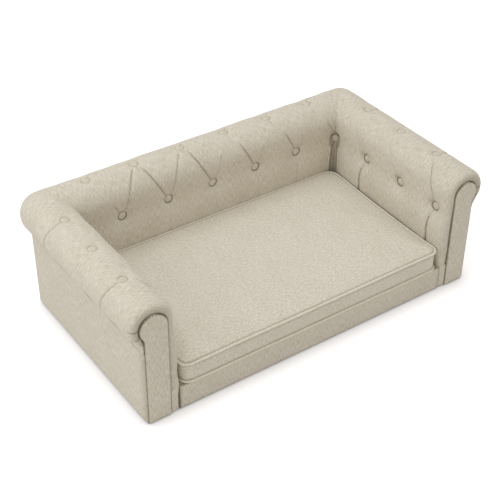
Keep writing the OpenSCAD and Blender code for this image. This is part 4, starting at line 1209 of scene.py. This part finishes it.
# Cloth simulation of the cover, how far its boxing may swell, and how much more its top may rise
SIMULATION = {"vertex_group_mass": "held", "use_pressure": True, "uniform_pressure_force": 4.0, "quality": 4,
              "mass": 0.25, "tension_stiffness": 12, "compression_stiffness": 4, "shear_stiffness": 4,
              "bending_stiffness": 0.4}
FRAMES = 20
SWELL = 0.002
TOP_SWELL = 0.002
side_x = high("top_piping").x
cushion_y0 = low("top_piping").y - FRONT_OUT
cushion_y1 = high("top_piping").y
cushion_z0 = low("bottom_piping").z
cushion_z1 = high("top_piping").z
top_limit = high("cushion_top").z
top_seam_z = cushion_z1 - PIPING_R
bottom_seam_z = cushion_z0 + PIPING_R
zip_low, zip_high = low("zip_channel"), high("zip_channel")


def front_share(y):
    """How far the cushion's top seam is down: 1 at the front, 0 at the back."""
    length = cushion_y1 - cushion_y0 - (FRONT_LEVEL + BACK_LEVEL)
    return 1 - smooth((y - cushion_y0 - FRONT_LEVEL) / length)


def top_seam(y):
    """Height of the cushion's top seam."""
    return top_seam_z - SEAM_DROP * front_share(y)


def cushion_loop(inset, step):
    """Outline of the cushion, drawn in by an inset: points a step apart, anticlockwise."""
    x, y0, y1 = side_x - inset, cushion_y0 + inset, cushion_y1 - inset
    rf, rb = max(CORNER_FRONT - inset, 0.002), max(CORNER_BACK - inset, 0.002)
    points = []

    def arc(cx, cy, r, first):
        count = max(3, math.ceil(r * math.pi / 2 / step))
        for k in range(count + 1):
            a = math.radians(first + 90 * k / count)
            points.append((cx + r * math.cos(a), cy + r * math.sin(a)))

    def side(a, b, sag):
        count = max(3, round(math.dist(a, b) / step))
        for k in range(1, count):
            f = k / count
            dip = 4 * f * (1 - f)
            points.append((a[0] + (b[0] - a[0]) * f + sag[0] * dip, a[1] + (b[1] - a[1]) * f + sag[1] * dip))

    arc(-x + rf, y0 + rf, rf, 180)
    side((-x + rf, y0), (x - rf, y0), (0, 0))
    arc(x - rf, y0 + rf, rf, 270)
    side((x, y0 + rf), (x, y1 - rb), (-DRAWN_IN, 0))
    arc(x - rb, y1 - rb, rb, 0)
    side((x - rb, y1), (-x + rb, y1), (0, 0))
    arc(-x + rb, y1 - rb, rb, 90)
    side((-x, y1 - rb), (-x, y0 + rf), (DRAWN_IN, 0))
    return np.array(points)


def nearest_on(loop, xy):
    """Distance from each point to a closed loop, and how far along the loop it is."""
    best = np.full(len(xy), 9.0)
    along = np.zeros(len(xy))
    run = 0
    for a, b in zip(loop, np.roll(loop, -1, axis=0)):
        length = max(math.dist(a, b), 1e-9)
        du, dv = (b - a) / length
        f = np.clip((xy[:, 0] - a[0]) * du + (xy[:, 1] - a[1]) * dv, 0, length)
        dist = np.hypot(xy[:, 0] - a[0] - f * du, xy[:, 1] - a[1] - f * dv)
        nearer = dist < best
        best[nearer] = dist[nearer]
        along[nearer] = run + f[nearer]
        run += length
    return best, along


def coordinates(mesh):
    return read(mesh.vertices, "co", 3).astype(float)


def set_coordinates(mesh, values):
    mesh.vertices.foreach_set("co", np.asarray(values, dtype=np.float32).ravel())
    mesh.update()


def applied(piece):
    """Replace a piece's mesh by the one its modifiers make."""
    graph = bpy.context.evaluated_depsgraph_get()
    mesh = bpy.data.meshes.new_from_object(piece.evaluated_get(graph), depsgraph=graph)
    piece.modifiers.clear()
    piece.data = mesh


def edge_shares(length, step):
    """Shares from 0 to 1 of a length, crowded towards both ends."""
    near = np.array([0, 0.0025, 0.0050, 0.0090, 0.0150, 0.0220]) / length
    count = round((length - 0.044) / step)
    return np.concatenate([near[:-1], np.linspace(near[-1], 1 - near[-1], count + 1), (1 - near[::-1])[1:]])


def stretch(loop, first, last, shares):
    """Points at shares of the way along a closed loop from one of its points to another."""
    count = (last - first) % len(loop) + 1
    part = np.roll(loop, -first, axis=0)[:count]
    run = np.concatenate([[0], np.cumsum(np.linalg.norm(np.diff(part, axis=0), axis=1))])
    return np.stack([np.interp(shares * run[-1], run, part[:, k]) for k in (0, 1)], axis=-1)


def cushion_plan(step):
    """Grid of points over the cushion's outline, whose edge lines follow its sides."""
    loop = cushion_loop(0.0, 0.002)
    u, v = edge_shares(2 * side_x, step), edge_shares(cushion_y1 - cushion_y0, step)
    total, difference = loop.sum(axis=1), loop[:, 0] - loop[:, 1]
    corners = [int(total.argmin()), int(difference.argmax()), int(total.argmax()), int(difference.argmin())]
    front_left, front_right, back_right, back_left = corners
    front = stretch(loop, front_left, front_right, u)[:, None]
    back = stretch(loop, back_right, back_left, 1 - u)[:, None]
    right = stretch(loop, front_right, back_right, v)[None, :]
    left = stretch(loop, back_left, front_left, 1 - v)[None, :]
    a, b = u[:, None, None], v[None, :, None]
    flat = ((1 - a) * (1 - b) * loop[front_left] + a * (1 - b) * loop[front_right]
            + a * b * loop[back_right] + (1 - a) * b * loop[back_left])
    return (1 - b) * front + b * back + (1 - a) * left + a * right - flat


def cushion_form(piece_name, inside=0.0):
    """Closed starting form: flat below, drawn in at the seams, crowned on top. inside makes it
    that much smaller all round."""
    plan = cushion_plan(CUSHION_GRID)
    half = np.array([side_x, (cushion_y1 - cushion_y0) / 2])
    centre = np.array([0, (cushion_y0 + cushion_y1) / 2])

    def drawn_in(inset):
        return centre + (plan - centre) * (1 - (inset + inside) / half)

    top = drawn_in(SEAM_IN)
    count_a, count_b = plan.shape[:2]
    edge, _ = nearest_on(cushion_loop(SEAM_IN + inside, 0.01), top.reshape(-1, 2))
    share = front_share(top[..., 1])
    rise = (1 - share) * np.interp(edge, *zip(*CROWN)).reshape(count_a, count_b)
    rise = rise + share * np.interp(edge, *zip(*FRONT_CROWN)).reshape(count_a, count_b)
    rim = rim_of(count_a, count_b)
    rise.ravel()[rim] = 0
    drop = UNDER_DROP * smooth(edge / 0.006).reshape(count_a, count_b)
    drop.ravel()[rim] = 0
    upper, lower = top_seam(top[..., 1]) - inside, bottom_seam_z + inside
    points = [np.concatenate([top, (upper + rise)[..., None]], axis=-1).reshape(-1, 3),
              np.concatenate([top, (lower - drop)[..., None]], axis=-1).reshape(-1, 3)]
    for inset, share in BOXING:
        ring = drawn_in(inset).reshape(-1, 2)[rim]
        points.append(np.column_stack([ring, lower + share * (upper.ravel()[rim] - lower)]))
    size, around = count_a * count_b, len(rim)
    faces = grid_faces(count_a, count_b, 0, True) + grid_faces(count_a, count_b, size)
    levels = [[size + k for k in rim]]
    levels += [[2 * size + r * around + k for k in range(around)] for r in range(len(BOXING))]
    levels.append(rim)
    for a, b in zip(levels, levels[1:]):
        for k in range(around):
            m = (k + 1) % around
            faces.append([a[m], a[k], b[k], b[m]])
    data = bpy.data.meshes.new(piece_name)
    data.from_pydata([tuple(p) for p in np.concatenate(points)], [], faces)
    return new_object(piece_name, data)


def inflate(piece):
    """Fill the form with air in a cloth simulation, held at its seams and underneath, with each
    point's way capped."""
    mesh = piece.data
    start = coordinates(mesh)
    x, y, z = start.T
    edge, _ = nearest_on(cushion_loop(PIPING_R, 0.02), start[:, :2])
    seams = ((abs(z - top_seam(y)) < 0.005) | (abs(z - bottom_seam_z) < 0.005)) & (edge < 0.006)
    group = piece.vertex_groups.new(name="held")
    group.add([int(k) for k in np.flatnonzero(seams | (z < bottom_seam_z))], 1.0, "REPLACE")
    settings = piece.modifiers.new("cloth", "CLOTH").settings
    for key, value in SIMULATION.items():
        setattr(settings, key, value)
    settings.effector_weights.gravity = 0
    scene = bpy.context.scene
    for number in range(1, FRAMES + 1):
        scene.frame_set(number)
    graph = bpy.context.evaluated_depsgraph_get()
    moved = coordinates(piece.evaluated_get(graph).to_mesh())
    piece.modifiers.clear()
    scene.frame_set(1)
    way = moved - start
    size = np.linalg.norm(way, axis=1)
    cap = SWELL + TOP_SWELL * smooth((z - top_seam(y)) / 0.004)
    way = way * (cap * np.tanh(size / cap) / np.maximum(size, 1e-9))[:, None]
    set_coordinates(mesh, start + way)


def cushion_cover():
    """The cushion's cover with its puckers, waves and one dimple, open for the zip."""
    piece = cushion_form("cushion_cover")
    inflate(piece)
    piece.modifiers.new("finer", "SUBSURF").levels = 1
    applied(piece)
    mesh = piece.data
    points = coordinates(mesh)
    normals = read(mesh.vertices, "normal", 3)
    outline = cushion_loop(0.0, 0.008)
    edge, along = nearest_on(outline, points[:, :2])
    x, y, z = points.T
    on_top = smooth((normals[:, 2] - 0.3) / 0.4)
    on_side = 1 - smooth((abs(normals[:, 2]) - 0.2) / 0.3)
    top_way = np.clip(edge - 2 * PIPING_R, 0, None)
    side_way = np.minimum(abs(top_seam(y) - z), abs(z - bottom_seam_z))
    sway = 0.25 + 0.75 * smooth(0.5 + 0.5 * ripple(along, 0 * along, 0.11, 81))
    gather = np.sin(2 * math.pi * along / 0.0165 + 2.5 * ripple(along, 0 * along, 0.06, 82))
    pucker = 0.0006 * gather * sway * on_top * bell(top_way, 0.011)
    pucker = pucker + 0.0005 * gather * sway * on_side * bell(side_way, 0.012)
    waves = 0.0009 * ripple(x, y, 0.34, 83) + 0.0004 * ripple(x * 1.4, y, 0.12, 84)
    waves = on_top * smooth(top_way / 0.05) * waves
    waves = waves + on_side * smooth(side_way / 0.02) * 0.0006 * ripple(along, z * 0.6, 0.09, 85)
    dimple = -0.0015 * on_top * bell(np.hypot(x + side_x - 0.035, y - cushion_y0 - 0.030), 0.022)
    points = points + normals * (pucker + waves + dimple)[:, None]
    points[:, 2] = np.clip(points[:, 2], cushion_z0, top_limit)
    set_coordinates(mesh, points)
    cut_zip_pocket(piece)
    finish_cushion(piece, outline)

def cut_zip_pocket(piece):
    """Opening at the rear for the zip."""
    box = bmesh.new()
    bmesh.ops.create_cube(box, size=1.0)
    depth = cushion_y1 + 0.02 - zip_low.y
    bmesh.ops.scale(box, vec=(zip_high.x - zip_low.x, depth, zip_high.z - zip_low.z), verts=box.verts)
    bmesh.ops.translate(box, vec=(0, zip_low.y + depth / 2, (zip_low.z + zip_high.z) / 2), verts=box.verts)
    data = bpy.data.meshes.new("pocket")
    box.to_mesh(data)
    box.free()
    cutter = new_object("pocket", data)
    modifier = piece.modifiers.new("pocket", "BOOLEAN")
    modifier.operation = "DIFFERENCE"
    modifier.solver = "EXACT"
    modifier.object = cutter
    applied(piece)
    bpy.data.objects.remove(cutter)


def finish_cushion(piece, outline):
    """Map the cloth by the way each face looks, and paint shade along the piping's seams."""
    mesh = piece.data
    points = coordinates(mesh)
    edge, along = nearest_on(outline, points[:, :2])
    loops = read(mesh.loops, "vertex_index", kind=np.int32)
    level = abs(read(mesh.polygons, "normal", 3)[:, 2]) > 0.6
    level = np.repeat(level, read(mesh.polygons, "loop_total", kind=np.int32))
    around = np.stack([along, points[:, 2]], axis=-1)
    uv = np.where(level[:, None], points[loops][:, :2], around[loops])
    # Painted shade along the piping's seams.
    seam = np.minimum(abs(points[:, 2] - top_seam(points[:, 1])), abs(points[:, 2] - bottom_seam_z))
    painted_shade = 0.95 * bell(seam, 0.0056) * bell(np.clip(edge - PIPING_R, 0, None), 0.0050)
    set_cloth(mesh, uv, painted_shade)
    finish_mesh(mesh, seat_cloth, 50)
    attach(piece, "cushion")
    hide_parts("cushion_top", "cushion_bottom", "cushion_boxing")


def piping(name, node, z, seed, fallen=0.0):
    """Corded seam round the cushion: a tube slightly pinched by its stitches, lower by fallen at
    the front."""
    line = cushion_loop(PIPING_R, 0.004)
    ahead = np.roll(line, -1, axis=0) - np.roll(line, 1, axis=0)
    ahead /= np.linalg.norm(ahead, axis=1)[:, None]
    out = np.stack([ahead[:, 1], -ahead[:, 0]], axis=-1)
    run = np.concatenate([[0], np.cumsum(np.linalg.norm(np.diff(line, axis=0), axis=1))])
    angles = np.arange(0, 2 * math.pi, 2 * math.pi / PIPING_SIDES)
    pinch = 0.00016 * np.sin(2 * math.pi * run / 0.0085 + seed) + 0.00014 * ripple(run, 0 * run, 0.05, seed)
    R = (PIPING_R - 0.0001 + np.minimum(pinch, 0.0001))[:, None] * np.ones(len(angles))
    lift = 0.0006 * ripple(run, 0 * run, 0.13, seed + 1)
    across = R * np.cos(angles)
    x = line[:, :1] + out[:, :1] * across
    y = line[:, 1:] + out[:, 1:] * across
    height = (z - fallen * front_share(line[:, 1]) + lift)[:, None] + R * np.sin(angles)
    height = np.clip(height, cushion_z0, cushion_z1 + 0.0005)
    points = np.stack([x, y, height], axis=-1).reshape(-1, 3)
    n, m = len(line), len(angles)
    i, j = np.meshgrid(np.arange(n), np.arange(m), indexing="ij")
    a, b = i * m + j, (i + 1) % n * m + j
    c, d = (i + 1) % n * m + (j + 1) % m, i * m + (j + 1) % m
    faces = np.stack([a, b, c, d], axis=-1).reshape(-1, 4).tolist()
    uv = np.stack([np.repeat(run, m), np.tile(angles * PIPING_R, n)], axis=-1)
    # Painted shade on the cord's inner side, against the cushion.
    inner = np.tile(smooth((-np.cos(angles) - 0.72) / 0.25), n)
    piece = add_piece(name, points, faces, "cushion", cord_cloth_painted_highlight, uv, 0.8 * inner, 80)
    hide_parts(node)


def zip_tapes():
    """Folded tape lining the zip's opening, with a fine coil along its middle."""
    half_h = (zip_high.z - zip_low.z) / 2
    mid_z = (zip_high.z + zip_low.z) / 2
    y0, y1 = zip_low.y, zip_high.y
    bend = [(y1, half_h), (y0 + 0.003, half_h), (y0 + 0.001, half_h - 0.001), (y0, half_h - 0.003)]
    coil = [(y0, h) for h in (0.004, 0.002, 0.0008, 0, -0.0008, -0.002, -0.004)]
    outer = bend + coil + [(y, -h) for y, h in bend[::-1]]
    wall = half_h - TAPE_T
    inner = []
    for y, h in outer:
        inner_y = max(y, y0 + TAPE_T) if abs(h) > 0.001 else y0 + TAPE_T + 0.0002
        inner.append((inner_y, max(-wall, min(wall, h))))
    xs = np.linspace(zip_low.x, zip_high.x, 260)
    pulled = 0.00012 * ripple(xs, 0 * xs, 0.03, 91)
    P = np.array([[(x, y + (w if 0 < k < len(inner) - 1 else 0), mid_z + h) for k, (y, h) in enumerate(inner)]
                  for x, w in zip(xs, pulled)])
    Q = np.array([[(x, y, mid_z + h) for y, h in outer] for x in xs])
    piece = slab("zip_tapes", P, Q, zip_tape, sharp=45, body="cushion")
    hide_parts("zip_channel")


def cushion_block():
    """Foam inside the cover, with room for the zip."""
    piece = cushion_form("cushion_foam_block", FOAM_INSIDE)
    cut_zip_pocket(piece)
    finish_mesh(piece.data, foam)
    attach(piece, "cushion")
    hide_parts("cushion_foam")


cushion_cover()
cushion_block()
piping("top_cord", "top_piping", top_seam_z, 101, SEAM_DROP)
piping("bottom_cord", "bottom_piping", bottom_seam_z, 105)
zip_tapes()


# Materials of the CAD nodes that stay
WALLS = ("left", "right", "back")
BOARDS = [wall + board for wall in WALLS for board in ("_outer_board", "_inner_board", "_roll_board")]
KEPT = {
    timber: ["front_rail", "rear_rail", "left_side_rail", "right_side_rail", "seat_slats", "corner_blocks"]
            + [wall + "_battens" for wall in WALLS],
    plywood: ["seat_deck", "left_front_former", "left_rear_former", "right_front_former", "right_rear_former",
              "back_formers"] + BOARDS,
    steel: ["frame_screws", "panel_screws", "glide_nails"],
    plastic: ["foot_glides"],
    twine: [wall + "_button_ties" for wall in WALLS],
    zip_metal: ["zip_slider", "zip_pull"],
}
for material, names in KEPT.items():
    for name in names:
        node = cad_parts[name]
        node.data.materials.clear()
        node.data.materials.append(material)


# Floor, light and background
FLOOR_HALF = 30.0
FLOOR_COLOR = (0.82, 0.82, 0.83)
FLOOR_ROUGH = 0.9
FLOOR_GLOW = 0.46
SHADE_REACH = 0.045
WORLD_LEVEL = 0.70
WORLD_TONE = (1.0, 0.96, 0.92)
# Soft boxes: name, place, aim, width, power, colour
LAMPS = [
    ("top_box", (-0.5, 0.3, 3.0), (0, 0, 0.1), 2.4, 24, (0.94, 1.0, 1.12)),
    ("left_box", (-3.0, 0.4, 1.7), (0, 0, 0.1), 2.0, 17, (0.97, 1.0, 1.05)),
]


def by_ray(tree, other, direct):
    """The shader direct for rays from the camera, a mirror or glass, and other for the rest."""
    path = add_node(tree, "ShaderNodeLightPath")
    bounced = math_of(tree, "MAXIMUM", path.outputs["Is Glossy Ray"], path.outputs["Is Transmission Ray"])
    seen = math_of(tree, "MAXIMUM", path.outputs["Is Camera Ray"], bounced)
    choose = add_node(tree, "ShaderNodeMixShader")
    for socket, value in zip(choose.inputs, (seen, other, direct)):
        tree.links.new(value, socket)
    return choose.outputs[0]


def make_floor():
    material, tree, shader = node_tree("floor")
    feed(tree, FLOOR_COLOR, shader.inputs["Base Color"])
    feed(tree, FLOOR_ROUGH, shader.inputs["Roughness"])
    # Painted contact shadow: the floor's glow is darkened near the sofa by ambient occlusion, over the real
    # shadow on its diffuse part.
    near = add_node(tree, "ShaderNodeAmbientOcclusion", samples=16, Distance=SHADE_REACH)
    glow = add_node(tree, "ShaderNodeEmission", Strength=FLOOR_GLOW)
    tree.links.new(near.outputs["Color"], glow.inputs["Color"])
    dim = add_node(tree, "ShaderNodeEmission", Strength=0.0)
    both = add_node(tree, "ShaderNodeAddShader")
    tree.links.new(shader.outputs[0], both.inputs[0])
    tree.links.new(by_ray(tree, dim.outputs[0], glow.outputs[0]), both.inputs[1])
    tree.links.new(both.outputs[0], tree.nodes["Material Output"].inputs["Surface"])
    mesh = bpy.data.meshes.new("floor")
    corners = [(x * FLOOR_HALF, y * FLOOR_HALF, 0) for x, y in ((-1, -1), (1, -1), (1, 1), (-1, 1))]
    mesh.from_pydata(corners, [], [(0, 1, 2, 3)])
    mesh.materials.append(material)
    new_object("floor", mesh)


def make_world():
    world = bpy.data.worlds.new("studio")
    bpy.context.scene.world = world
    world.use_nodes = True
    tree = world.node_tree
    light = tree.nodes["Background"]
    feed(tree, WORLD_TONE, light.inputs["Color"])
    feed(tree, WORLD_LEVEL, light.inputs["Strength"])
    white = add_node(tree, "ShaderNodeBackground")
    feed(tree, WHITE, white.inputs["Color"])
    shown = by_ray(tree, light.outputs[0], white.outputs[0])
    tree.links.new(shown, tree.nodes["World Output"].inputs["Surface"])


def make_lamps():
    for name, place, aim, width, power, tone in LAMPS:
        data = bpy.data.lights.new(name, "AREA")
        data.size = width
        data.energy = power
        data.color = tone
        lamp = new_object(name, data)
        lamp.location = place
        lamp.rotation_euler = (Vector(aim) - Vector(place)).to_track_quat("-Z", "Y").to_euler()


make_floor()
make_world()
make_lamps()
bpy.context.scene.view_settings.view_transform = "Standard"
